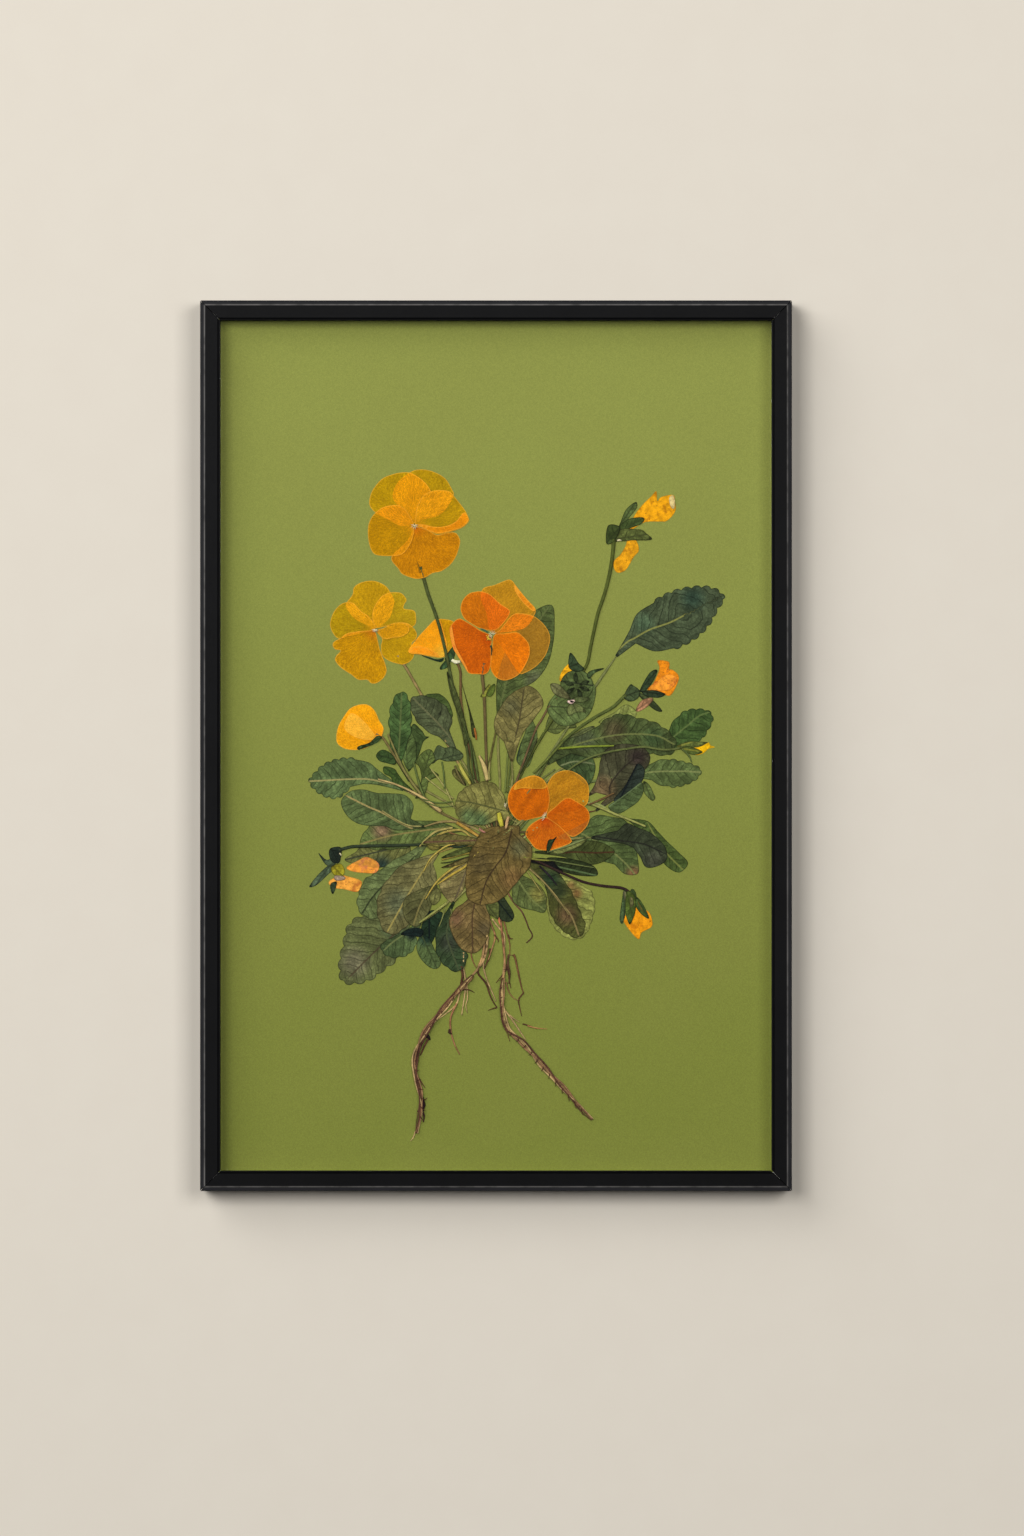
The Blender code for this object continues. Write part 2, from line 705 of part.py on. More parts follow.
def make_flowers():
    flower(
        "flower_folded",
        "yellow_petal",
        [port(106), (-9, -20), (-15, 5), (-18, 25), (-18, 36), (-19, 42)],
        [(-22, 42.5), (-27, 40.3), (-28, 45), (-34, 45.5), (-41, 46.3), (-45.4, 47.4)]
        + [(-41.3, 55), (-36.3, 61.3), (-32, 64.4), (-24, 64.8), (-20.7, 62.8), (-21, 50)]
        + [(-17.3, 43.6)],
        stalk=(1.0, 1.3),
    )
    flower(
        "flower_top",
        "yellow_petal",
        [port(98), (-12.5, -17), (-15, 0), (-19, 15), (-22, 30), (-25, 45), (-30, 65)]
        + [(-33, 72), (-37, 86)],
        [(-42, 84.7), (-47.3, 88), (-53.3, 93.8), (-60, 96.2), (-63.7, 98), (-65.8, 105)]
        + [(-64.5, 113), (-61, 119.6), (-64.8, 126), (-60.2, 134.3), (-53, 138.3)]
        + [(-46, 139.8), (-38, 140.8), (-30, 139.2), (-24.7, 135), (-21.2, 128), (-16, 120.3)]
        + [(-13.2, 115), (-18, 110.3), (-18.7, 105), (-18.2, 98), (-21.8, 92.3), (-28, 88.9)]
        + [(-32, 86)],
        stalk=(1.0, 1.6),
    )
    flower(
        "flower_closed",
        "yellow_petal",
        [port(142), (-24, -36), (-36, -27.5), (-40, -23), (-46, -14), (-53, -3), (-57.5, 4)],
        [(-60, 1.5), (-65, -0.5), (-70, -2.2), (-77, -1.7), (-80.7, 1), (-81.4, 5), (-80.2, 10.3)]
        + [(-77.3, 15.3), (-74, 19.3), (-69, 21.2), (-65, 20.9), (-61.7, 18), (-59.5, 13)]
        + [(-57, 8.5)],
        stalk=(1.0, 1.3),
    )
    flower(
        "flower_middle",
        "orange_petal",
        [port(90), (-4, -28), (-4.8, -10), (-5.5, 10), (-6, 25), (-7, 37)],
        [(-13, 36.8), (-18.2, 41.7), (-21.8, 49), (-24.3, 58), (-22.3, 63.3), (-17.7, 66)]
        + [(-18.2, 71), (-15.2, 76.2), (-10.3, 79), (-6.3, 81.3), (0, 82.7), (6, 84.8)]
        + [(10, 82.7), (15.2, 76.2), (20.2, 69.7), (25.3, 61), (27.6, 55), (26.2, 46.8)]
        + [(20.2, 39.8), (13, 36.8), (8, 36), (4, 33.2), (0, 34.8), (-3, 37)],
        stalk=(1.0, 1.6),
    )
    flower(
        "bud_top_right",
        "withered_flower",
        [port(61), (14, -12), (34, 22), (46.5, 42), (48, 50), (52, 68), (56, 80), (59, 95)]
        + [(58.7, 103)],
        [(55.8, 104), (56.7, 111.5), (62, 112.5), (66, 120), (71, 124.4), (71.8, 121.3)]
        + [(75.5, 123), (81.6, 129.8), (90.2, 127.8), (91.3, 120), (84.3, 113.8), (76, 111)]
        + [(79.2, 107), (79, 104.3), (72, 103.8), (72.7, 99), (69.5, 94), (65.5, 88.5)]
        + [(61, 88), (59.7, 92.5), (63.5, 99.5), (60.7, 103)],
        stalk=(1.0, 1.8),
    )
    flower(
        "bud_orange",
        "withered_flower",
        [port(47), (20, -18), (30, -2), (42, 9), (52, 15.5), (60, 20), (66, 25.3)],
        [(65.5, 29), (70, 31), (74, 33.3), (78, 37.4), (82.3, 39.5), (84, 43.9), (88.2, 43)]
        + [(90.3, 38.8), (93.3, 35), (91.3, 29), (87.3, 25), (82.5, 22.8), (84.8, 17.5)]
        + [(78, 19.2), (71, 18), (67.5, 22.3)],
    )
    flower(
        "bud_wrinkled",
        "withered_flower",
        [port(68), (8, -25), (17, 0), (21, 10), (26, 17)],
        [(27.5, 22), (26.5, 27), (27.5, 31), (31.8, 35), (34.3, 40.5), (38, 42.6), (38, 47)]
        + [(43.3, 43.5), (47.5, 38.5), (54, 39.8), (50.8, 33), (50.3, 27), (50.2, 20)]
        + [(45, 13.8), (36, 10), (29, 9)],
        stalk=(1.2, 1.0),
    )
    flower(
        "bud_far_right",
        "withered_flower",
        [port(33), (40, -10), (70, -1), (85, -2), (93, -1.5)],
        [(92.8, 0.5), (97, 2.5), (103, 3), (108, 1.9), (111.7, -0.6), (108, -2), (105, -4.2)]
        + [(99, -5.2), (95, -3.6)],
        stalk=(1.0, 1.2),
    )
    flower(
        "bud_left",
        "withered_flower",
        [port(186), (-14, -52.5), (-26, -50), (-45, -50.5), (-68, -51), (-79, -52)],
        [(-84.5, -51.3), (-85.5, -56.5), (-90.8, -54.1), (-86.3, -61), (-95.3, -71.7)]
        + [(-92, -71.3), (-86, -66.4), (-85.6, -70), (-84.4, -72), (-82.9, -75.6), (-81.3, -72.8)]
        + [(-70.4, -74.6), (-68, -70), (-69.8, -67.8), (-73, -66.7), (-72, -64.2), (-60.8, -65)]
        + [(-59.2, -60), (-65.6, -56.3), (-71, -60.2), (-76, -61.3), (-78.7, -57)],
        stalk=(1.0, 1.6),
    )
    flower(
        "bud_lower_right",
        "withered_flower",
        [port(318), (18, -57.5), (26, -61), (38.5, -66.8), (48, -70.3), (57, -71.5), (64, -72.3)],
        [(66, -75), (63.4, -78), (64, -84), (62.5, -87), (63.4, -90.9), (65, -89.3)]
        + [(68, -94.2), (72.6, -98.8), (74.2, -95.1), (79.4, -92.2), (79.4, -88), (77.7, -84)]
        + [(74.3, -78.7), (71, -74)],
        stalk=(1.0, 1.5),
    )


def make_front_pieces():
    """The leaves and the flower that lie on top of everything."""
    leaf(
        "leaf_olive_brown",
        [port(75), (8, -20), (8, -6), (9, 2)],
        [(4, 2), (-1.5, 9), (0, 15), (3, 21), (7, 26), (12, 29), (17, 30.5), (21, 28)]
        + [(24.2, 22.5), (22, 17.5), (18, 12), (13, 5)],
    )
    flower(
        "flower_front",
        "orange_petal",
        [port(12), (12, -42)],
        [(15.2, -44), (17, -48), (20.2, -52.3), (25, -53.3), (29, -52.9), (37.7, -49.7)]
        + [(37.8, -46.7), (42.2, -45.2), (46.2, -41), (47.8, -36), (46, -30.2), (47.3, -25)]
        + [(46.7, -19.3), (42.6, -14.8), (36.5, -12.4), (31, -13), (26, -16.6), (20.2, -14.8)]
        + [(15.3, -15.8), (9.8, -18.8), (6.5, -23.8), (5.9, -29), (7.6, -34.2), (12, -38.2)],
        stalk=(1.0, 1.6),
    )
    leaf(
        "leaf_front_green",
        [(11, -40), (8, -37.5), (5, -35)],
        [(0.5, -38), (-6, -40.3), (-14, -40.3), (-19, -37.3), (-20.8, -32), (-20, -26)]
        + [(-16.5, -21.5), (-10, -18.7), (-4, -18), (1, -20.4), (4, -25), (4.7, -31)],
        teeth=9,
        depth=0.4,
    )
    leaf(
        "leaf_front_brown",
        [(14, -37.5), (11.5, -41), (9, -44)],
        [(2, -40.6), (-5, -41.5), (-10, -47.5), (-14, -56.5), (-15.8, -68), (-14.5, -77.5)]
        + [(-9, -80.8), (-2, -80.3), (4.5, -76.7), (11, -69), (17, -61.7), (19, -55.5)]
        + [(16.5, -48.5), (12, -45)],
        teeth=9,
        depth=0.3,
    )


MATERIALS = {slot: make_material(slot) for slot in SLOTS}
clear_scene()
PARTS = bpy.data.collections.new("pressed_flower_frame")
LAYERS = Layers()
bpy.context.scene.collection.children.link(PARTS)
make_frame()
make_stack()
make_hanger()
make_tabs()
make_roots()
make_crown()
make_back_leaves()
make_left_side()
make_lower_leaves()
make_flowers()
make_front_pieces()
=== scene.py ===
"""Looks of a pressed pansy plant, roots and all, behind glass in a slim black picture frame.

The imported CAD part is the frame. Outlines are in millimetres, as (across, up) from the middle of
the card, and the plant's pieces are laid one after another on a bed that remembers its heights.
"""

import math

import bpy
import mathutils
import numpy as np
from mathutils.geometry import delaunay_2d_cdt
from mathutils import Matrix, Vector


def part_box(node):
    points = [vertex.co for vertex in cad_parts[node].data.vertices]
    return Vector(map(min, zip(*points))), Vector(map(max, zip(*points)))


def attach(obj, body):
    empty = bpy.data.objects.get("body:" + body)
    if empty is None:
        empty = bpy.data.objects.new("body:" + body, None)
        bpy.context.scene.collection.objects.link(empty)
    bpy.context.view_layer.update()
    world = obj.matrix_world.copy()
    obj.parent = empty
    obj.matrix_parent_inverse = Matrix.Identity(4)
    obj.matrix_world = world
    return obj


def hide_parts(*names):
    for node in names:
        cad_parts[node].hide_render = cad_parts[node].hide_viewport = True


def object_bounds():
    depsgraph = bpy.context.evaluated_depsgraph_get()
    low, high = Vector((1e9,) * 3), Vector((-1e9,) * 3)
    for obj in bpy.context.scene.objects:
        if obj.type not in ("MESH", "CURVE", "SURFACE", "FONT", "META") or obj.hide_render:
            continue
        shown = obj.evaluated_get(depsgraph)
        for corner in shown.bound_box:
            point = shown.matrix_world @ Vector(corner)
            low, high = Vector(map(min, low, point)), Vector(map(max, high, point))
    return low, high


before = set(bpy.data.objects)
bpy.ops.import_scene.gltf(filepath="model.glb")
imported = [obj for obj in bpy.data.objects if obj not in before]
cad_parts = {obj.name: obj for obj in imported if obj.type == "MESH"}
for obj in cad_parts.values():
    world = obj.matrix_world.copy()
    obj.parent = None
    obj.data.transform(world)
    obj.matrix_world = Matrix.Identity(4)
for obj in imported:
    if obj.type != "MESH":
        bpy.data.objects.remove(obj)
cad_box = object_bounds()

MM = 0.001
CARD_LOW, CARD_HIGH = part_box("mount_card")
CARD_FACE = CARD_LOW.y
CARD_MIDDLE = (CARD_LOW.z + CARD_HIGH.z) / 2
ROOM = (CARD_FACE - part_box("glazing_pane")[1].y) / MM  # between the card and the glass
CROWN_LOW, CROWN_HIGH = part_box("crown")
CROWN = np.array([CROWN_LOW.x + CROWN_HIGH.x, CROWN_LOW.z + CROWN_HIGH.z]) / 2 / MM
CROWN[1] -= CARD_MIDDLE / MM

# All in millimetres.
END_WIDEST = 1.6  # the end of a stalk at the crown is no wider than this
STALK_WIDEST = 2.3  # a wider pair of outline points belongs to the blade
CELL = 0.5  # of the bed
GAP = 0.12  # between a piece and what it lies on
SHEET = 0.16  # thickness of a leaf or a petal
CLEAR = 0.3  # kept free between the tallest piece and the glass


# ---------------------------------------------------------------- lines and outlines


def paint(colour):
    """A colour given as 0-255 display values, in linear light."""
    share = np.array(colour, float) / 255
    return np.where(share <= 0.04045, share / 12.92, ((share + 0.055) / 1.055) ** 2.4)


def length_along(line):
    return np.concatenate([[0.0], np.cumsum(np.hypot(*np.diff(line, axis=0).T))])


def even(line, pitch):
    """The same line with its points a pitch apart."""
    run = length_along(line)
    places = np.linspace(0, run[-1], max(2, round(run[-1] / pitch) + 1))
    return np.stack([np.interp(places, run, part) for part in line.T], 1)


def smooth(points, pitch=0.7, closed=False):
    """A curve through the points; a closed one ends where it began."""
    given = np.array(points, float)
    if closed:
        ends = np.vstack([given[-1:], given, given[:2]])
    else:
        ends = np.vstack([2 * given[0] - given[1], given, 2 * given[-1] - given[-2]])
    share = np.linspace(0, 1, 12, endpoint=False)[:, None]
    runs = [
        0.5
        * (
            2 * b
            + (c - a) * share
            + (2 * a - 5 * b + 4 * c - d) * share**2
            + (3 * b - a - 3 * c + d) * share**3
        )
        for a, b, c, d in zip(ends, ends[1:], ends[2:], ends[3:])
    ]
    return even(np.vstack([*runs, ends[-2:-1]]), pitch)


def looped(outline):
    """An outline with its first point again at its end."""
    return np.vstack([outline, outline[:1]])


def area(outline):
    x, y = outline.T
    return np.sum(x * np.roll(y, -1) - y * np.roll(x, -1)) / 2


def lobed(points, pitch=0.6):
    """A blade's edge, smooth but for the notches between its teeth."""
    step = np.diff(points, axis=0)
    size = np.hypot(*step.T)
    cross = step[:-1, 0] * step[1:, 1] - step[:-1, 1] * step[1:, 0]
    turn = cross / (size[:-1] * size[1:]) * np.sign(area(points))
    corners = [0, *(np.flatnonzero(turn < -0.3) + 1), len(points) - 1]
    runs = [smooth(points[a : b + 1], pitch)[:-1] for a, b in zip(corners, corners[1:])]
    return np.vstack([*runs, points[-1:]])


def inside(places, outline):
    """Which of the places an outline encloses."""
    hit = np.zeros(len(places), bool)
    x, y = places.T
    for (x0, y0), (x1, y1) in zip(outline, np.roll(outline, -1, axis=0)):
        if y0 != y1:
            hit ^= ((y0 > y) != (y1 > y)) & (x < (x1 - x0) * (y - y0) / (y1 - y0) + x0)
    return hit


def nearest(places, line):
    """For each place: how far along the line it is, and how far aside, + to the left."""
    step = np.diff(line, axis=0)
    size = np.maximum(np.hypot(*step.T), 1e-6)
    run = length_along(line)[:-1]
    offset = places[:, None, :] - line[None, :-1, :]
    share = np.clip(np.sum(offset * step, axis=2) / size**2, 0, 1)
    gap = offset - share[:, :, None] * step
    away = np.hypot(gap[:, :, 0], gap[:, :, 1])
    best = np.argmin(away, axis=1)
    row = np.arange(len(places))
    cross = step[best, 0] * offset[row, best, 1] - step[best, 1] * offset[row, best, 0]
    along = run[best] + share[row, best] * size[best]
    return along, away[row, best] * np.where(cross < 0, -1.0, 1.0)


def fanned(places, foot, middle):
    """For each place: how far it is from the foot, and its angle there from the way to the middle."""
    away = places - foot
    x, y = middle - foot
    aside = x * away[:, 1] - y * away[:, 0]
    ahead = x * away[:, 0] + y * away[:, 1]
    return np.hypot(*away.T), np.arctan2(aside, ahead)


def beside(line, widths):
    """The two edges of a ribbon on a line."""
    step = np.gradient(line, axis=0)
    step /= np.maximum(np.hypot(*step.T), 1e-6)[:, None]
    half = np.interp(np.linspace(0, 1, len(line)), np.linspace(0, 1, len(widths)), widths) / 2
    normal = np.stack([-step[:, 1], step[:, 0]], 1) * half[:, None]
    return line + normal, line - normal


def cad_outline(node):
    """The outline of a flat CAD node's front face."""
    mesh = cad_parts[node].data
    places = np.array([vertex.co for vertex in mesh.vertices])
    at_front = np.abs(places[:, 1] - places[:, 1].min()) < 1e-5
    corners, names = {}, []
    for (x, _, z), front in zip(places, at_front):
        key = (round(x, 6), round(z, 6))
        names.append(corners.setdefault(key, len(corners)) if front else -1)
    ways = set()
    for polygon in mesh.polygons:
        face = [names[i] for i in polygon.vertices]
        if min(face) < 0:
            continue
        for pair in zip(face, face[1:] + face[:1]):
            if pair[::-1] in ways:
                ways.remove(pair[::-1])
            else:
                ways.add(pair)
    follow = dict(ways)
    loop = [next(iter(sorted(follow)))]
    while follow[loop[-1]] != loop[0]:
        loop.append(follow[loop[-1]])
    flat = np.array(list(corners)) / MM
    return (flat - [0, CARD_MIDDLE / MM])[loop]


def both_sides(outline, widest):
    """The two sides of an outline, from the end of it that is nearest the crown."""
    following = np.roll(outline, -1, axis=0)
    reach = np.hypot(*((outline + following) / 2 - CROWN).T)
    reach[np.hypot(*(following - outline).T) > widest] = np.inf
    start = int(np.argmin(reach))
    half = len(outline) // 2
    first = outline[[(start - step) % len(outline) for step in range(half)]]
    second = outline[[(start + 1 + step) % len(outline) for step in range(half)]]
    return first, second, start


def stalk_and_blade(node):
    """A CAD node's stalk, as a line and its widths, and the edge of what it carries."""
    outline = cad_outline(node)
    first, second, start = both_sides(outline, END_WIDEST)
    widths = np.hypot(*(first - second).T)
    count = int(np.argmax(widths > STALK_WIDEST))
    rest = len(outline) - 2 * count + 2
    order = [(start + count + step) % len(outline) for step in range(rest)]
    return ((first + second) / 2)[:count], widths[:count], outline[order]


# ---------------------------------------------------------------- the bed that pieces are laid on


def shifted(field, rows, columns):
    return np.roll(np.roll(field, rows, axis=0), columns, axis=1)


def blurred(field, cells):
    for axis in (0, 1):
        taps = np.arange(-2 * cells, 2 * cells + 1)
        weights = np.exp(-0.5 * (taps / cells) ** 2)
        padded = [np.roll(field, tap, axis=axis) * w for tap, w in zip(taps, weights)]
        field = sum(padded) / weights.sum()
    return field


class Bed:
    """Heights above the card, cell by cell, as pieces are laid on each other."""

    def __init__(self, low, high):
        self.low = np.array(low, float)
        self.shape = tuple(((np.array(high) - low) / CELL).astype(int))
        self.height = np.zeros(self.shape)

    def lay(self, outline, thickness, softness=3):
        """Lays a sheet and returns a function that gives its underside's height at places."""
        margin = (6 + 2 * softness) * CELL
        a = np.floor((outline.min(0) - margin - self.low) / CELL).astype(int)
        b = np.ceil((outline.max(0) + margin - self.low) / CELL).astype(int)
        window = (slice(a[0], b[0]), slice(a[1], b[1]))
        under = self.height[window]
        raised = under.copy()
        for rows, columns in [(-2, 0), (2, 0), (0, -2), (0, 2), (1, 1), (1, -1), (-1, 1), (-1, -1)]:
            raised = np.maximum(raised, shifted(under, rows, columns))
        top = np.maximum(blurred(raised, softness), under) + GAP
        cells = np.stack(np.meshgrid(range(a[0], b[0]), range(a[1], b[1]), indexing="ij"), -1)
        covered = inside(cells.reshape(-1, 2) * CELL + self.low, outline).reshape(under.shape)
        self.height[window] = np.where(covered, top + thickness, under)

        def height(places):
            spot = np.clip((places - self.low) / CELL - a, 0, np.array(top.shape) - 1.001)
            row, column = spot.astype(int).T
            down, across = (spot % 1).T
            return (
                top[row, column] * (1 - down) * (1 - across)
                + top[row + 1, column] * down * (1 - across)
                + top[row, column + 1] * (1 - down) * across
                + top[row + 1, column + 1] * down * across
            )

        return height


bed = Bed((-125, -225), (130, 165))  # the plant, with a margin round it


def settled(height):
    """Presses high stacks flatter, so that the tallest stays under the glass."""
    limit = ROOM - CLEAR
    return limit * (1 - np.exp(-height / limit))


# ---------------------------------------------------------------- pieces


class Piece:
    """One named piece: sheets and stalks, laid one after another."""

    def __init__(self, name):
        self.name = name
        self.points, self.faces, self.looks = [], [], []
        self.corners = {"tint": [], "vein": []}
        self.marks = {"run": [], "rib": [], "edge": []}
        self.count = 0

    def add(self, points, faces, look, tint, vein, run, rib, edge):
        """Adds a part; tint and vein are colours for each corner of each face."""
        self.points.append(points)
        self.faces += [tuple(int(i) + self.count for i in face) for face in faces]
        self.looks += [look] * len(faces)
        self.corners["tint"].append(tint)
        self.corners["vein"].append(vein)
        for key, values in zip(("run", "rib", "edge"), (run, rib, edge)):
            self.marks[key].append(values)
        self.count += len(points)

    def sheet(self, outline, look, corners, rib, pitch=1.3, cuts=(), soft=3):
        """A thin sheet inside an outline, with a midrib or, given one place, a fan of veins.

        corners(places, faces, run) gives the tint and the vein colour of each face's corners.
        """
        flat, faces = fill(outline, pitch, cuts)
        run, rib = fanned(flat, rib, outline.mean(0)) if rib.ndim == 1 else nearest(flat, rib)
        edge = np.abs(nearest(flat, looped(outline))[1])
        height = bed.lay(outline, SHEET, soft)(flat)
        tint, vein = corners(flat, faces, run)
        self.add(np.column_stack([flat, height]), faces, look, tint, vein, run, rib, edge)

    def tube(self, line, widths, look, tint, flat=0.55, sides=8, vein=None):
        """A stalk or a root along a line, flattened as pressing leaves it."""
        line = np.asarray(line, float)
        step = np.gradient(line, axis=0)
        step /= np.maximum(np.hypot(*step.T), 1e-6)[:, None]
        normal = np.stack([-step[:, 1], step[:, 0]], 1)
        run = length_along(line)
        share = run / run[-1]
        half = np.interp(share, np.linspace(0, 1, len(widths)), widths) / 2
        left, right = beside(line, widths)
        ground = bed.lay(np.vstack([left, right[::-1]]), float(half.mean() * 2 * flat), 2)(line)
        points, around = [], []
        for turn in np.linspace(0, 2 * math.pi, sides, endpoint=False):
            aside = math.cos(turn) * half
            up = (1 + math.sin(turn)) * half * flat
            points.append(np.column_stack([line + normal * aside[:, None], ground + up]))
            around.append(np.full(len(line), math.sin(turn / 2)))
        count = len(line)
        points = np.vstack(points)
        faces = [
            (s * count + i, t * count + i, t * count + i + 1, s * count + i + 1)
            for s, t in zip(range(sides), [*range(1, sides), 0])
            for i in range(count - 1)
        ]
        faces.append(tuple(s * count for s in range(sides))[::-1])
        faces.append(tuple(s * count + count - 1 for s in range(sides)))
        corners = [i for face in faces for i in face]
        colour = np.array([tint], float) if np.ndim(tint) == 1 else np.array(tint, float)
        stops = np.linspace(0, 1, len(colour))
        mixed = np.stack([np.interp(share, stops, part) for part in colour.T], 1)
        tints = paint(np.tile(mixed, (sides, 1)))[corners]
        veins = tints * 0.5 if vein is None else np.tile(paint(vein), (len(corners), 1))
        run = np.tile(run, sides)
        around = np.concatenate(around)
        self.add(points, faces, look, tints, veins, run, around, np.tile(half, sides))

    def done(self, replaces=()):
        """Makes the object: in the card's place, riding on the frame."""
        points = np.vstack(self.points)
        points[:, 2] = settled(points[:, 2])
        places = np.column_stack(
            [points[:, 0] * MM, CARD_FACE - points[:, 2] * MM, points[:, 1] * MM + CARD_MIDDLE]
        )
        mesh = bpy.data.meshes.new(self.name)
        mesh.from_pydata(places.tolist(), [], self.faces)
        used = sorted(set(self.looks))
        for look in used:
            mesh.materials.append(LOOKS[look])
        mesh.polygons.foreach_set("material_index", [used.index(look) for look in self.looks])
        mesh.polygons.foreach_set("use_smooth", [True] * len(self.faces))
        for key, parts in self.corners.items():
            layer = mesh.color_attributes.new(key, "FLOAT_COLOR", "CORNER")
            colours = np.vstack(parts)
            colours = np.column_stack([colours, np.ones(len(colours))])
            layer.data.foreach_set("color", colours.ravel())
        for key, parts in self.marks.items():
            layer = mesh.attributes.new(key, "FLOAT", "POINT")
            layer.data.foreach_set("value", np.concatenate(parts))
        mesh.update()
        thing = bpy.data.objects.new(self.name, mesh)
        bpy.context.scene.collection.objects.link(thing)
        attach(thing, "root")
        if replaces:
            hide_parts(*replaces)


def fill(outline, pitch, cuts=()):
    """Points and triangles inside an outline, with edges along the cuts."""
    low, high = outline.min(0), outline.max(0)
    across = np.arange(low[0], high[0], pitch)
    up = np.arange(low[1], high[1], pitch * 0.87)
    grid = np.stack(np.meshgrid(across, up), -1)
    grid[1::2, :, 0] += pitch / 2
    grid = grid.reshape(-1, 2)
    grid = grid[inside(grid, outline)]
    grid = grid[np.abs(nearest(grid, looped(outline))[1]) > pitch * 0.5]
    corners = [*outline, *grid]
    edges = [(i, (i + 1) % len(outline)) for i in range(len(outline))]
    for cut in cuts:
        first = len(corners)
        corners += [*cut]
        edges += [(first + i, first + i + 1) for i in range(len(cut) - 1)]
    made = delaunay_2d_cdt([tuple(map(float, c)) for c in corners], edges, [], 0, 1e-4, False)
    flat = np.array([tuple(v) for v in made[0]])
    faces = np.array([face for face in made[2] if len(face) == 3])
    faces = faces[inside(flat[faces].mean(1), outline)]
    used, faces = np.unique(faces, return_inverse=True)
    faces = faces.reshape(-1, 3)
    flat = flat[used]
    a, b, c = flat[faces].swapaxes(0, 1)
    clockwise = (b[:, 0] - a[:, 0]) * (c[:, 1] - a[:, 1]) < (b[:, 1] - a[:, 1]) * (c[:, 0] - a[:, 0])
    faces[clockwise] = faces[clockwise][:, ::-1]
    return flat, faces


# ---------------------------------------------------------------- materials


class Graph:
    """A node material with a Principled shader at its end."""

    def __init__(self, name, **settings):
        self.material = bpy.data.materials.new(name)
        self.material.use_nodes = True
        self.tree = self.material.node_tree
        self.shader = self.tree.nodes["Principled BSDF"]
        for key, value in settings.items():
            self.shader.inputs[key.replace("_", " ")].default_value = value
        self.place = self.put("TexCoord").outputs["Object"]

    def put(self, kind, inputs=(), **settings):
        node = self.tree.nodes.new("ShaderNode" + kind)
        for key, value in settings.items():
            setattr(node, key, value)
        for key, value in dict(inputs).items():
            self.join(value, node.inputs[key])
        return node

    def join(self, value, socket):
        if isinstance(value, bpy.types.NodeSocket):
            self.tree.links.new(value, socket)
        elif socket.type == "RGBA":
            socket.default_value = (*value, 1.0)
        else:
            socket.default_value = value

    def calc(self, operation, a, b=0.0, c=0.0):
        return self.put("Math", {0: a, 1: b, 2: c}, operation=operation).outputs[0]

    def times(self, a, b):
        return self.calc("MULTIPLY", a, b)

    def mark(self, name):
        return self.put("Attribute", attribute_name=name).outputs["Fac"]

    def colour(self, name):
        return self.put("Attribute", attribute_name=name).outputs["Color"]

    def noise(self, scale, detail=4.0, roughness=0.55, place=None):
        inputs = {"Vector": place or self.place, "Scale": scale}
        inputs |= {"Detail": detail, "Roughness": roughness}
        return self.put("TexNoise", inputs).outputs[0]

    def ease(self, value, low, high, start=0.0, end=1.0):
        inputs = {"Value": value, 1: low, 2: high, 3: start, 4: end}
        return self.put("MapRange", inputs, interpolation_type="SMOOTHSTEP").outputs[0]

    def spread(self, noise, start=0.0, end=1.0):
        """A noise's middle range, drawn out from start to end."""
        return self.ease(noise, 0.3, 0.7, start, end)

    def mix(self, share, a, b):
        return self.put("Mix", {0: share, 6: a, 7: b}, data_type="RGBA").outputs[2]

    def scaled(self, colour, share):
        """A colour times a number."""
        node = self.put("VectorMath", {0: colour, "Scale": share}, operation="SCALE")
        return node.outputs[0]

    def vector(self, x, y, z=0.0):
        return self.put("CombineXYZ", {0: x, 1: y, 2: z}).outputs[0]

    def finish(self, colour, roughness, height=None, depth=0.0002, strength=1.0):
        """Joins up the shader; height is a bump, depth metres deep."""
        self.join(colour, self.shader.inputs["Base Color"])
        self.join(roughness, self.shader.inputs["Roughness"])
        if height is not None:
            inputs = {"Strength": strength, "Distance": depth, "Height": height}
            self.join(self.put("Bump", inputs).outputs[0], self.shader.inputs["Normal"])
        return self.material

    def clear_for(self, share):
        """Makes the surface as it stands see-through by this share."""
        output = next(node for node in self.tree.nodes if node.type == "OUTPUT_MATERIAL")
        surface = output.inputs["Surface"]
        clear = self.put("BsdfTransparent")
        both = self.put("MixShader", {0: share, 1: surface.links[0].from_socket, 2: clear.outputs[0]})
        self.tree.links.new(both.outputs[0], surface)


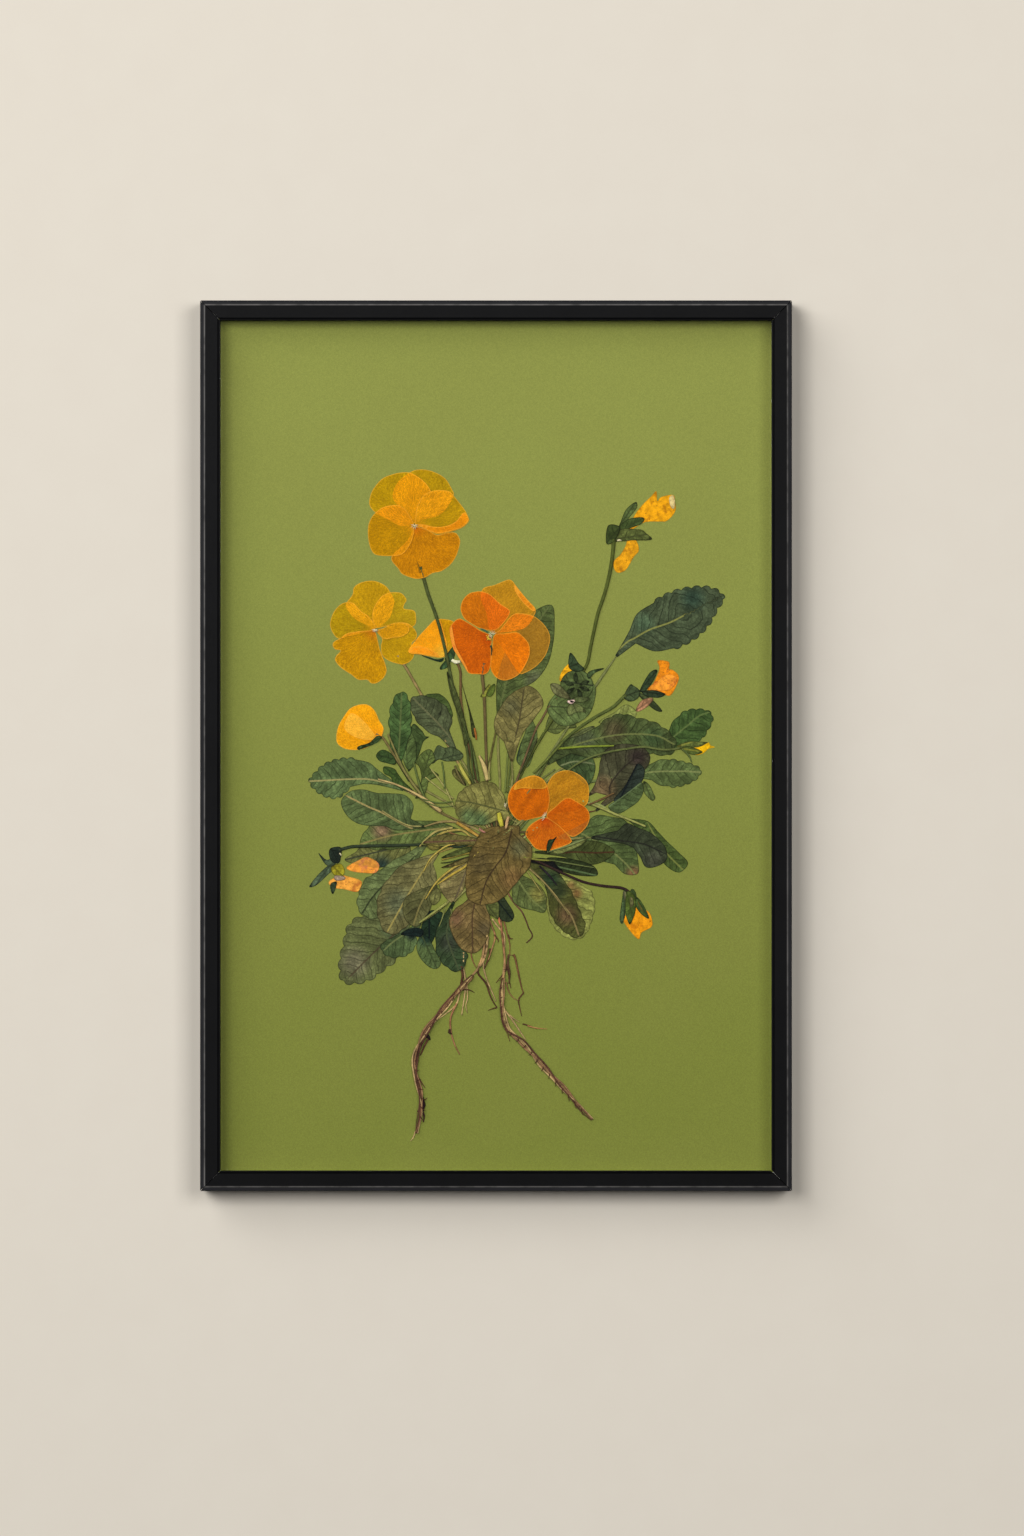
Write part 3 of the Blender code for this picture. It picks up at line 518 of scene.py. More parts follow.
def leaf_look():
    """Midrib, dark side veins (their own colour, with painted shadow in their grooves) and pleats
    between them (painted shade, lighter on their raised side), a fine net, mottling and a dark rim.
    """
    g = Graph("dried_leaf_look", Specular_IOR_Level=0.0)
    run, rib, edge = g.mark("run"), g.mark("rib"), g.mark("edge")
    tint, vein = g.colour("tint"), g.colour("vein")
    side = g.calc("ABSOLUTE", rib)
    wander = g.noise(90, 3)
    phase = g.calc("MULTIPLY_ADD", side, -0.8, run)
    phase = g.calc("DIVIDE", phase, 5.0)
    phase = g.calc("MULTIPLY_ADD", wander, 1.8, phase)
    phase = g.calc("ADD", phase, g.times(g.calc("GREATER_THAN", rib, 0.0), 0.45))
    saw = g.calc("FRACT", phase)
    off = g.calc("ABSOLUTE", g.calc("SUBTRACT", saw, 0.5))
    line = g.ease(off, 0.015, 0.075, 1.0, 0.0)
    line = g.times(line, g.ease(edge, 0.2, 2.0, 0.25, 1.0))
    middle = g.ease(side, 0.2, 0.6, 1.0, 0.0)
    cells = g.put("TexVoronoi", {"Vector": g.place, "Scale": 560.0}, feature="DISTANCE_TO_EDGE")
    net = g.ease(cells.outputs["Distance"], 0.03, 0.2, 1.0, 0.0)
    mottle = g.noise(190, 6, 0.65)
    blotch = g.ease(g.noise(75, 5, 0.6), 0.48, 0.68)
    grain = g.noise(1300, 4, 0.7)
    dark = g.scaled(tint, 0.36)
    base = g.scaled(tint, g.spread(mottle, 0.66, 1.5))
    # painted shade: each pleat is painted lighter on its raised side and darker on its low side,
    # following its bump
    base = g.scaled(base, g.ease(saw, 0.0, 1.0, 1.18, 0.86))
    base = g.mix(g.times(blotch, 0.4), base, dark)
    base = g.mix(g.times(net, 0.3), base, dark)
    # the side veins are darkened partly as their own colour and partly as painted shadow in their
    # grooves
    base = g.mix(g.times(line, 0.8), base, dark)
    base = g.mix(g.times(middle, 0.85), base, vein)
    base = g.scaled(base, g.ease(edge, 0.0, 0.6, 0.4, 1.04))
    base = g.scaled(base, g.spread(grain, 0.85, 1.15))
    height = g.calc("MULTIPLY_ADD", line, -0.7, g.times(net, -0.25))
    height = g.calc("MULTIPLY_ADD", saw, -0.5, height)
    height = g.calc("MULTIPLY_ADD", mottle, 1.6, height)
    height = g.calc("MULTIPLY_ADD", grain, 0.25, height)
    return g.finish(base, g.spread(mottle, 0.9, 0.7), height, 0.0003, 0.8)


def petal_look():
    """Fine veins that fan out from the petal's foot, faint mottling and a lighter rim."""
    g = Graph("dried_petal_look", Specular_IOR_Level=0.0)
    run, ray, edge = g.mark("run"), g.mark("rib"), g.mark("edge")
    tint = g.colour("tint")
    deep = g.mix(0.5, g.colour("vein"), g.scaled(tint, 0.75))
    bent = g.calc("MULTIPLY_ADD", g.noise(70, 3), 0.35, ray)
    fan = g.vector(g.times(bent, 9.0), g.times(run, 0.1))
    streak = g.ease(g.noise(3.2, 5, 0.7, fan), 0.44, 0.6)
    thread = g.ease(g.noise(8.0, 4, 0.7, fan), 0.5, 0.62)
    grain = g.noise(1100, 4, 0.7)
    cloud = g.noise(120, 4)
    fade = g.ease(run, 1.0, 24.0, 0.95, 0.55)
    base = g.mix(g.times(streak, fade), tint, deep)
    base = g.mix(g.times(thread, 0.6), base, g.scaled(deep, 0.75))
    base = g.scaled(base, g.spread(grain, 0.86, 1.16))
    base = g.scaled(base, g.spread(cloud, 0.9, 1.12))
    rim = g.ease(edge, 0.1, 0.6, 1.0, 0.0)
    base = g.mix(g.times(rim, 0.45), base, (1.0, 0.45, 0.04))
    height = g.calc("MULTIPLY_ADD", streak, -0.5, g.times(cloud, 2.0))
    height = g.calc("MULTIPLY_ADD", grain, 0.3, height)
    return g.finish(base, g.spread(cloud, 0.85, 0.65), height, 0.0002, 0.6)


def withered_look():
    """A shrivelled petal: brown blotches and specks, and crumpled all over."""
    g = Graph("withered_petal_look", Specular_IOR_Level=0.0)
    tint, deep, edge = g.colour("tint"), g.colour("vein"), g.mark("edge")
    crumple = g.noise(420, 5, 0.6)
    blotch = g.ease(g.noise(240, 4), 0.5, 0.66)
    speck = g.ease(g.noise(900, 4, 0.7), 0.56, 0.66)
    base = g.scaled(tint, g.spread(crumple, 0.8, 1.3))
    base = g.mix(g.times(blotch, 0.6), base, deep)
    base = g.mix(g.times(speck, 0.7), base, g.scaled(deep, 0.6))
    base = g.scaled(base, g.ease(edge, 0.0, 0.4, 0.7, 1.0))
    return g.finish(base, 0.8, crumple, 0.0006, 1.0)


def stalk_look():
    """Long fibres, edges that have dried darker, and small blotches."""
    g = Graph("dried_stalk_look", Specular_IOR_Level=0.02)
    run, around = g.mark("run"), g.mark("rib")
    tint, dark = g.colour("tint"), g.colour("vein")
    grown = g.vector(g.times(run, 0.08), g.times(around, 3.0))
    fibre = g.noise(4.0, 4, 0.6, grown)
    blotch = g.noise(330, 4, 0.6)
    rim = g.calc("MAXIMUM", g.ease(around, 0.1, 0.45, 1.0, 0.0), g.ease(around, 0.86, 0.98))
    base = g.mix(g.ease(fibre, 0.4, 0.65, 0.0, 0.5), tint, dark)
    base = g.mix(g.times(rim, 0.75), base, dark)
    base = g.scaled(base, g.spread(blotch, 0.8, 1.25))
    height = g.calc("MULTIPLY_ADD", blotch, 0.6, fibre)
    return g.finish(base, 0.75, height, 0.0003, 0.7)


def root_look():
    """Knotty bark in light and dark browns."""
    g = Graph("dried_root_look", Specular_IOR_Level=0.0)
    run, around = g.mark("run"), g.mark("rib")
    tint, dark = g.colour("tint"), g.colour("vein")
    knots = g.noise(420, 5, 0.65)
    bands = g.noise(150, 3)
    grown = g.vector(g.times(run, 0.12), g.times(around, 4.0))
    fibre = g.noise(4.0, 4, 0.6, grown)
    share = g.calc("MAXIMUM", g.ease(knots, 0.48, 0.62), g.ease(fibre, 0.5, 0.6))
    base = g.mix(g.times(share, 0.75), tint, dark)
    base = g.scaled(base, g.spread(bands, 0.75, 1.35))
    return g.finish(base, 0.85, knots, 0.0005, 0.9)


def hair_look():
    """Pale hairs, dull and a little uneven."""
    g = Graph("flower_hair_look")
    tint = g.colour("tint")
    return g.finish(g.scaled(tint, g.spread(g.noise(900), 0.85, 1.1)), 0.7)


def card_look():
    """Uncoated paper: a fine crossed grain, flecks, and a slow change of tone down the sheet."""
    g = Graph("green_card_look", Specular_IOR_Level=0.02)
    parts = g.put("SeparateXYZ", {0: g.place}).outputs
    down = g.ease(parts[2], float(CARD_HIGH.z), float(CARD_LOW.z))
    slow = g.noise(9, 3)
    tone = g.mix(down, paint((141, 147, 72)), paint((121, 128, 54)))
    tone = g.mix(g.spread(slow, 0.0, 0.25), tone, paint((133, 134, 66)))
    wires = g.noise(2600, 2, 0.5, g.vector(g.times(parts[0], 0.35), parts[2]))
    chains = g.noise(2600, 2, 0.5, g.vector(parts[0], g.times(parts[2], 0.35)))
    grain = g.calc("MULTIPLY_ADD", g.calc("ADD", wires, chains), 0.5, g.noise(1300, 4, 0.7))
    tone = g.scaled(tone, g.ease(grain, 0.75, 1.25, 0.9, 1.1))
    return g.finish(tone, 0.92, grain, 0.0001, 0.35)


def rail_look():
    """Black paint over moulded wood: a soft satin, with a painted lighter band round the outer edge and
    a painted highlight line on the step just inside it, where light catches the bevel.
    """
    g = Graph("black_frame_look", Specular_IOR_Level=0.06)
    parts = g.put("SeparateXYZ", {0: g.place}).outputs
    low, high = (np.array(corner) for corner in cad_box)
    half = (high - low) / 2
    beside_edge = g.calc("SUBTRACT", float(half[0]), g.calc("ABSOLUTE", parts[0]))
    centred = g.calc("ABSOLUTE", g.calc("SUBTRACT", parts[2], float((high + low)[2] / 2)))
    inward = g.calc("MINIMUM", beside_edge, g.calc("SUBTRACT", float(half[2]), centred))
    # painted highlight: a thin light line on the step about 2 mm in from the outside, varied by noise
    # along the rails
    painted_highlight = g.times(g.ease(inward, 0.0017, 0.002), g.ease(inward, 0.0024, 0.0027, 1.0, 0.0))
    painted_highlight = g.times(painted_highlight, g.ease(g.noise(160, 3), 0.3, 0.6, 0.5, 1.0))
    # painted light: the outer band, within about 2 mm of the edge, is painted lighter, as light falls on
    # the bevel there
    band = g.ease(inward, 0.0016, 0.002, 1.0, 0.0)
    grain = g.noise(700, 4, 0.6)
    base = g.mix(band, paint((8, 8, 9)), paint((32, 32, 34)))
    base = g.mix(painted_highlight, base, paint((92, 90, 88)))
    base = g.scaled(base, g.spread(g.noise(60, 4), 0.85, 1.15))
    return g.finish(base, g.spread(grain, 0.5, 0.38), grain, 0.0001, 0.25)


def board_look():
    """Brown hardboard: pressed fibres, with the odd dark fleck."""
    g = Graph("backing_board_look", Specular_IOR_Level=0.2)
    fibre = g.noise(900, 6, 0.7)
    fleck = g.ease(g.noise(420, 3), 0.62, 0.7)
    base = g.mix(g.spread(fibre), paint((112, 78, 48)), paint((156, 116, 78)))
    base = g.mix(g.times(fleck, 0.6), base, paint((70, 47, 30)))
    return g.finish(base, 0.85, fibre, 0.0002, 0.5)


def spacer_look():
    g = Graph("white_spacer_look", Specular_IOR_Level=0.3)
    grain = g.noise(1500, 3)
    base = g.mix(g.spread(grain), paint((196, 193, 184)), paint((218, 215, 206)))
    return g.finish(base, 0.8, grain, 0.0001, 0.3)


def steel_look():
    """Zinc-plated steel: brushed, with dull patches."""
    g = Graph("steel_look", Metallic=1.0)
    parts = g.put("SeparateXYZ", {0: g.place}).outputs
    brushed = g.noise(3000, 3, 0.6, g.vector(g.times(parts[0], 0.04), parts[2], parts[1]))
    patch = g.noise(140, 4)
    base = g.mix(g.ease(patch, 0.35, 0.7), (0.58, 0.58, 0.57), (0.4, 0.39, 0.36))
    return g.finish(base, g.spread(brushed, 0.28, 0.5), brushed, 0.00005, 0.4)


def glass_look():
    """Clear picture glass, which lets lamps through."""
    glass = {"Transmission_Weight": 1.0, "Roughness": 0.0, "IOR": 1.45, "Specular_IOR_Level": 0.05}
    g = Graph("clear_glass_look", Base_Color=(0.97, 0.985, 0.975, 1.0), **glass)
    path = g.put("LightPath").outputs
    g.clear_for(path["Is Diffuse Ray"])
    g.clear_for(path["Is Shadow Ray"])
    return g.material


LOOKS = {
    "leaf": leaf_look(),
    "petal": petal_look(),
    "withered": withered_look(),
    "stalk": stalk_look(),
    "root": root_look(),
    "hair": hair_look(),
}


def dress_frame():
    """Gives the CAD nodes that stay their materials, by the record's slots."""
    coats = {
        "rail_": rail_look(),
        "mount_card": card_look(),
        "backing_board": board_look(),
        "spacer_": spacer_look(),
        "sawtooth_hanger": steel_look(),
        "glazing_pane": glass_look(),
    }
    coats["tab_"] = coats["sawtooth_hanger"]
    for name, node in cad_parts.items():
        for start, material in coats.items():
            if name.startswith(start):
                for slot in node.material_slots:
                    slot.material = material


# ---------------------------------------------------------------- wall, light and camera

KEY_POWER = 135.0  # watts, as the other lamps
FILL_POWER = 55.0
BACK_POWER = 65.0
SKY = 0.07  # strength of the even light from all round
WALL_REACH = 1.6  # metres from its middle to each side
WALL_GAP = 0.0006  # metres behind the frame
SENSOR = 36.0  # millimetres, as the lens
LENS = 150.0
VIEW_HEIGHT = 0.7784  # metres from the picture's top to its bottom
VIEW_OFFSET = (0.0081, 0, -0.0113)  # metres from the frame's middle to the picture's


def make_wall():
    """The pale wall the frame hangs on. It is clear from behind, and it stops no lamp's light."""
    low, high = cad_box
    middle = (low + high) / 2
    corners = [(-1, -1), (1, -1), (1, 1), (-1, 1)]
    places = [
        (x * WALL_REACH + middle.x, high.y + WALL_GAP, z * WALL_REACH + middle.z) for x, z in corners
    ]
    mesh = bpy.data.meshes.new("wall")
    mesh.from_pydata(places, [], [(0, 1, 2, 3)])
    g = Graph("wall_paint", Specular_IOR_Level=0.0)
    tone = g.mix(g.noise(40, 4), paint((211, 203, 190)), paint((214, 207, 194)))
    g.finish(tone, 0.9, g.noise(500, 3), 0.0002, 0.15)
    g.clear_for(g.put("NewGeometry").outputs["Backfacing"])
    g.clear_for(g.put("LightPath").outputs["Is Shadow Ray"])
    mesh.materials.append(g.material)
    wall = bpy.data.objects.new("wall", mesh)
    bpy.context.scene.collection.objects.link(wall)


def aim(thing, place, target):
    direction = mathutils.Vector(target) - mathutils.Vector(place)
    thing.location = place
    thing.rotation_euler = direction.to_track_quat("-Z", "Y").to_euler()
    bpy.context.scene.collection.objects.link(thing)


def lamp(name, place, size, power):
    data = bpy.data.lights.new(name, "AREA")
    data.size = size
    data.energy = power
    low, high = cad_box
    aim(bpy.data.objects.new(name, data), place, (low + high) / 2)


def make_light():
    """Broad soft light, most of it from the upper left, and a lamp for the frame's back."""
    lamp("key", (-2.9, -2.5, 2.3), 3.4, KEY_POWER)
    lamp("fill_right", (1.4, -3.3, 0.5), 1.5, FILL_POWER)
    lamp("fill_left", (-1.2, -3.3, 0.4), 1.3, FILL_POWER)
    lamp("back", (-1.4, 2.2, 0.9), 1.6, BACK_POWER)
    world = bpy.data.worlds.new("studio")
    world.use_nodes = True
    tree = world.node_tree
    air = tree.nodes["Background"]
    air.inputs[0].default_value = (1.0, 0.99, 0.97, 1.0)
    air.inputs[1].default_value = SKY
    backdrop = tree.nodes.new("ShaderNodeBackground")
    backdrop.inputs[0].default_value = (*paint((216, 208, 196)), 1.0)
    both = tree.nodes.new("ShaderNodeMixShader")
    tree.links.new(tree.nodes.new("ShaderNodeLightPath").outputs["Is Camera Ray"], both.inputs[0])
    tree.links.new(air.outputs[0], both.inputs[1])
    tree.links.new(backdrop.outputs[0], both.inputs[2])
    tree.links.new(both.outputs[0], tree.nodes["World Output"].inputs["Surface"])
    bpy.context.scene.world = world
    bpy.context.scene.view_settings.view_transform = "Standard"


def make_camera():
    """A long lens, level with the plant, that takes in the frame and some wall."""
    low, high = cad_box
    data = bpy.data.cameras.new("camera")
    data.sensor_width = SENSOR
    data.lens = LENS
    away = VIEW_HEIGHT * LENS / SENSOR
    middle = (low + high) / 2 + mathutils.Vector(VIEW_OFFSET)
    camera = bpy.data.objects.new("camera", data)
    aim(camera, (middle.x, low.y - away, middle.z), middle)
    bpy.context.scene.camera = camera


# ---------------------------------------------------------------- parts of the plant

HAIR = (214, 200, 158)
STALK = (134, 130, 74)
BARK = (92, 60, 42)
TAN = (190, 160, 108)
FINE = (0.7, 0.6, 0.3)  # a thin rootlet's widths, from its start to its end
STOUT = (1.0, 0.9, 0.5)  # a thicker one's
RINGS = []  # what has been laid so far: (outline, kind, colour)


def near(ring, other):
    return np.all(ring.min(0) < other.max(0)) and np.all(other.min(0) < ring.max(0))


def tinted(colour, vein, patches, below):
    """Corner colours of a leaf: its tint, soft patches, and painted shade over the leaves beneath it, as
    if their shadow showed through; over bare card a little lighter.

    Patches are (across, up, radius, colour).
    """

    def corners(flat, faces, _):
        tint = np.tile(paint(colour), (len(flat), 1))
        for across, up, radius, other in patches:
            away = np.hypot(*(flat - (across, up)).T)
            share = np.clip(1.4 - away / radius, 0, 1)[:, None]
            tint = tint * (1 - share) + paint(other) * share
        middle = flat[faces].mean(1)
        layers = sum(inside(middle, entry[0]).astype(int) for entry in below)
        # painted shade: darker where the leaf lies over one other piece, darker still over two, and a
        # little lighter over bare card
        darker = np.array([1.05, 0.86, 0.76])[np.minimum(layers, 2)] * np.ones(len(faces))
        tint = tint[faces.ravel()] * np.repeat(darker, 3)[:, None]
        return tint, np.tile(paint(vein), (len(tint), 1))

    return corners


def blade(piece, ring, tint, vein, rib, patches=()):
    below = [entry for entry in RINGS[-12:] if near(ring, entry[0])]
    cuts = [looped(entry[0]) for entry in below]
    piece.sheet(ring, "leaf", tinted(tint, vein, patches, below), smooth(rib), cuts=cuts)
    RINGS.append((ring, "leaf", tint))


def from_crown(line, beyond=()):
    """A stalk's line, begun inside the crown and led on through the points beyond its end."""
    start = CROWN + (line[0] - CROWN) * 0.35
    return smooth([start, *line, *beyond], 1.3)


def leaf(node, tint, vein, rib, patches=(), stalk=STALK):
    """A leaf on its stalk, with the outline that the CAD node has."""
    line, widths, edge = stalk_and_blade(node)
    ring = lobed(edge)
    ring = ring[np.hypot(*np.diff(ring, axis=0, append=ring[:1]).T) > 0.05]
    piece = Piece(node + "_pressed")
    piece.tube(from_crown(line), [*widths, 0.5], "stalk", stalk, flat=0.35)
    blade(piece, ring, tint, vein, rib, patches)
    piece.done([node])


def scrap(name, points, tint, vein=None, rib=None, patches=()):
    """A small leaf, or what shows of one, that has no CAD node of its own; a few are dark sheets of
    painted shade.
    """
    far = max(points, key=lambda p: math.dist(p, points[0]))
    ring = smooth(points, closed=True)[:-1]
    piece = Piece(name)
    blade(piece, ring, tint, vein or [c * 0.75 for c in tint], rib or [points[0], far], patches)
    piece.done()


def petal(piece, points, foot, single, double, deep, base=None, look="petal"):
    """A petal, with painted see-through light: over another petal it is painted brighter, and over a
    leaf darker, as if light passed through the thin petal.
    """
    ring = smooth(points, closed=True)[:-1]
    below = [entry for entry in RINGS if near(ring, entry[0])]

    def corners(flat, faces, run):
        middle = flat[faces].mean(1)
        colour = np.tile(paint(single), (len(faces), 1))
        # painted see-through light and shade: the brighter double colour where another petal lies
        # beneath, and the leaf's tint mixed in, darker, where a leaf does
        for other, kind, tint in below:
            over = inside(middle, other)
            if kind == "petal":
                colour[over] = paint(double)
            else:
                colour[over] = paint(single) * 0.68 + paint(tint) * 0.32
        vertices = faces.ravel()
        colour = np.repeat(colour, 3, axis=0)
        share = np.clip(1 - run[vertices] / 8.0, 0, 1)[:, None] ** 1.5
        colour = colour * (1 - share) + paint(base or double) * share
        return colour, np.tile(paint(deep), (len(vertices), 1))

    cuts = [looped(entry[0]) for entry in below]
    piece.sheet(ring, look, corners, np.array(foot, float), 1.4, cuts, 2)
    RINGS.append((ring, "petal", single))


def withered(piece, points, foot, tint, deep):
    petal(piece, points, foot, tint, tint, deep, look="withered")


def sepal(piece, points, tint, vein=None):
    ring = smooth(points, closed=True, pitch=0.5)[:-1]
    across = [points[0], points[len(points) // 2]]
    blade(piece, ring, tint, vein or [c * 0.7 for c in tint], across)


def hairs(piece, foot, spread, count, length, tint=HAIR):
    """The pale beard at a flower's throat."""
    first, last = spread
    for turn in np.linspace(first, last, count):
        reach = length * (0.75 + 0.25 * math.sin(7 * turn))
        way = np.array([math.cos(math.radians(turn)), math.sin(math.radians(turn))])
        start = np.array(foot) + way * 0.4
        line = smooth([start, start + way * reach * 0.5 + (0.1, -0.1), start + way * reach], 0.6)
        piece.tube(line, (0.4, 0.35, 0.15), "hair", tint, 0.5, 5)


def wisp(piece, points, widths, tint, look="stalk", pitch=0.6):
    """A short stalk, knob or hair on a flower."""
    piece.tube(smooth(points, pitch), widths, look, tint)


def flower(node, stalk, beyond, lay, width=1.0):
    """A flower or a bud on its stalk, which leads on to its back; lay(piece) adds the rest of it."""
    line, widths, _ = stalk_and_blade(node)
    piece = Piece(node + "_pressed")
    piece.tube(from_crown(line, beyond), widths * width, "stalk", stalk, 0.5)
    lay(piece)
    piece.done([node])


def strand(name, routes, look="root"):
    """Several thin strands that make one piece: (points, widths, tint) each."""
    piece = Piece(name)
    for points, widths, tint in routes:
        piece.tube(smooth(points, 0.9), widths, look, tint, 0.6, 6)
    piece.done()


def stalks(name, routes):
    """Stalks whose leaves are hidden, as one piece."""
    strand(name, routes, "stalk")


def twist(piece, line, widths):
    """Finer roots that wind along a main one, and stubs that stand out from it on both sides."""
    run = length_along(line)
    left, right = beside(line, widths + 1.2)
    low = len(line) * 2 // 5
    for turn, tint in ((0.4, TAN), (2.4, (150, 112, 78)), (4.4, (96, 62, 48))):
        sway = 0.4 * np.sin(run / 11 + turn) + 0.1 * np.sin(run / 3.1 + 2 * turn)
        share = (0.5 + sway)[:, None]
        fine = (left * share + right * (1 - share))[low:]
        piece.tube(fine, (0.5, 0.9, 0.8, 0.4), "root", tint, 0.5, 6)
    for start in range(low, len(line) - 6, 6):
        side = 1 if start % 2 else -1
        step = line[start + 2] - line[start]
        out = np.array([-step[1], step[0]]) * side / max(np.hypot(*step), 1e-6)
        bend = line[start] + out * 0.9 + step * 0.5
        tip = line[start] + out * (1.7 + 0.7 * math.sin(start)) + step * (1.0 + math.cos(start))
        piece.tube(smooth([line[start], bend, tip], 0.5), FINE[1:], "root", BARK, 0.5, 5)


# ---------------------------------------------------------------- the plant, from the card outwards


def lay_rootlets():
    """Fine side roots, in three groups."""
    strand(
        "rootlets_left",
        [
            ([(-16.5, -105), (-16.5, -113), (-15.5, -120), (-16, -127), (-17.5, -137)], STOUT, TAN),
            ([(-17.6, -112), (-17, -117), (-17.8, -121), (-18, -124)], (1.3, 1.2, 0.8), BARK),
            ([(-15, -120), (-14.5, -128), (-15.4, -132), (-14.6, -136)], FINE, TAN),
            ([(-18, -124), (-14, -124), (-11, -125.5)], FINE, BARK),
            ([(-18, -123), (-20, -131), (-24, -135), (-31, -140)], STOUT, TAN),
            ([(-20, -131), (-23, -138), (-23, -145), (-21, -152), (-18.5, -157)], STOUT, (160, 112, 76)),
            ([(-23.4, -144), (-23.8, -145.6), (-22.6, -146.6)], (0.9, 1.4, 0.6), (70, 46, 36)),
            ([(-35, -147), (-34.4, -148.2), (-33.5, -149.5)], (1.4, 1.9, 0.6), (40, 26, 26)),
            ([(-34.5, -149), (-36.6, -153), (-38.5, -157.5)], STOUT, BARK),
            ([(-40, -168), (-38, -171), (-36, -174)], FINE, BARK),
            ([(-38.6, -179), (-36.6, -180), (-35, -179)], FINE, BARK),
            ([(-37.6, -178), (-36.9, -183), (-38, -187)], (0.9, 2.0, 1.0), (44, 26, 26)),
            ([(-40, -186), (-38, -185.4), (-36.6, -188), (-37, -191.4)], STOUT, (60, 38, 32)),
            ([(-41, -196), (-42, -199), (-43.5, -201)], FINE, TAN),
            ([(-30, -137), (-33, -143), (-37.4, -148.6), (-40, -152)], FINE, TAN),
        ],
    )
    strand(
        "rootlets_middle",
        [
            ([(-5, -93), (-6, -102), (-7, -108), (-9, -112.6)], (1.2, 1.4, 1.4), (176, 138, 92)),
            ([(-4, -97), (-5, -105), (-6.5, -111), (-5, -118), (-3, -123), (0, -130)], STOUT, TAN),
            ([(-13, -104), (-12, -109), (-10, -113)], FINE, (150, 104, 70)),
            ([(-3, -103), (-3.4, -107), (-6, -113.4)], STOUT, BARK),
            ([(-9, -113), (-9, -116), (-5, -121), (-3, -127), (-1, -131), (0.5, -133)], STOUT, BARK),
            ([(0.5, -133), (-1.5, -133.6), (-4, -134.5)], FINE, BARK),
            ([(4.4, -110), (3.4, -118), (3, -123), (2, -129)], STOUT, TAN),
            ([(6, -112), (4, -115.6), (0, -120.5)], FINE, BARK),
            ([(5, -111), (6.4, -116), (6.6, -119), (7.6, -123.4)], FINE, BARK),
            ([(5, -120), (7, -126), (10, -129), (12, -129.5)], FINE, (130, 96, 62)),
            ([(-4, -87), (-2, -92), (-0.5, -97), (-2, -103), (-4, -109)], STOUT, (160, 120, 78)),
            ([(-2, -88), (1, -92), (4, -96), (4.3, -104), (4, -111)], STOUT, TAN),
            ([(1.6, -87), (1.6, -89), (2.5, -92)], STOUT, (226, 128, 88)),
            ([(4, -89), (5.5, -95), (7, -101), (7, -106), (9, -106.6)], FINE, (128, 88, 58)),
            ([(6, -96), (7, -98), (8.6, -98)], FINE, BARK),
            ([(-1, -96), (1, -98.6), (1, -100)], FINE, BARK),
        ],
    )
    strand(
        "rootlets_right",
        [
            ([(9, -106), (10, -109), (11, -114), (13, -123), (14, -125.5)], STOUT, (120, 84, 54)),
            ([(14, -125.5), (11.5, -129), (12, -133), (13, -137.5)], FINE, BARK),
            ([(6.4, -106), (6, -111), (7, -116), (6.4, -121)], STOUT, (90, 64, 44)),
            ([(4, -134), (8, -139), (12, -145), (15, -149.5)], STOUT, TAN),
            ([(7, -137), (10, -139.4), (12, -140.6)], FINE, TAN),
            ([(13.5, -141.4), (17, -142.4), (21, -144)], FINE, BARK),
            ([(16, -142.4), (21, -143.6), (26, -144)], FINE, (180, 130, 80)),
            ([(4.6, -144), (6, -147), (7, -150.4)], FINE, (120, 100, 56)),
            ([(29, -168), (30, -171), (31, -172.6)], FINE, BARK),
        ],
    )


def lay_main_roots():
    """The main roots, from the CAD nodes: bark of changing tones from the crown to the tip."""
    tones = {
        "root_left": [(186, 150, 96), (196, 164, 108), (150, 114, 76), (96, 64, 48), (104, 72, 50)],
        "root_right": [(182, 142, 88), (140, 96, 64), (196, 168, 108), (166, 132, 88), (120, 86, 62)],
        "root_side": [(190, 170, 120), (140, 100, 70), (84, 54, 44), (76, 48, 40)],
    }
    for node, tints in tones.items():
        first, second, _ = both_sides(cad_outline(node), math.inf)
        line = smooth((first + second) / 2, 0.8)
        # the CAD root is stout for strength; the real one is thickest a little past its middle
        slim = np.interp(np.linspace(0, 1, len(first)), (0, 0.4, 0.6, 1), (1.0, 1.1, 2.3, 1.2))
        widths = np.minimum(np.hypot(*(first - second).T) * 0.8, slim)
        piece = Piece(node + "_pressed")
        piece.tube(line, widths, "root", tints, 0.5, 10, vein=(78, 50, 38))
        if node != "root_side":
            twist(piece, line, widths)
        piece.done([node])


def lay_crown():
    """The rough disc that all stalks and roots come from, nearly all hidden."""
    piece = Piece("crown_pressed")
    turns = np.linspace(0, 2 * math.pi, 26, endpoint=False)
    reach = 8.4 + 0.7 * np.sin(5 * turns) + 0.4 * np.sin(9 * turns + 1)
    ring = CROWN + np.stack([reach * np.cos(turns), reach * np.sin(turns)], 1)
    blade(piece, ring, (120, 96, 60), (70, 50, 34), [CROWN - (0, 8), CROWN + (0, 8)])
    piece.done(["crown"])


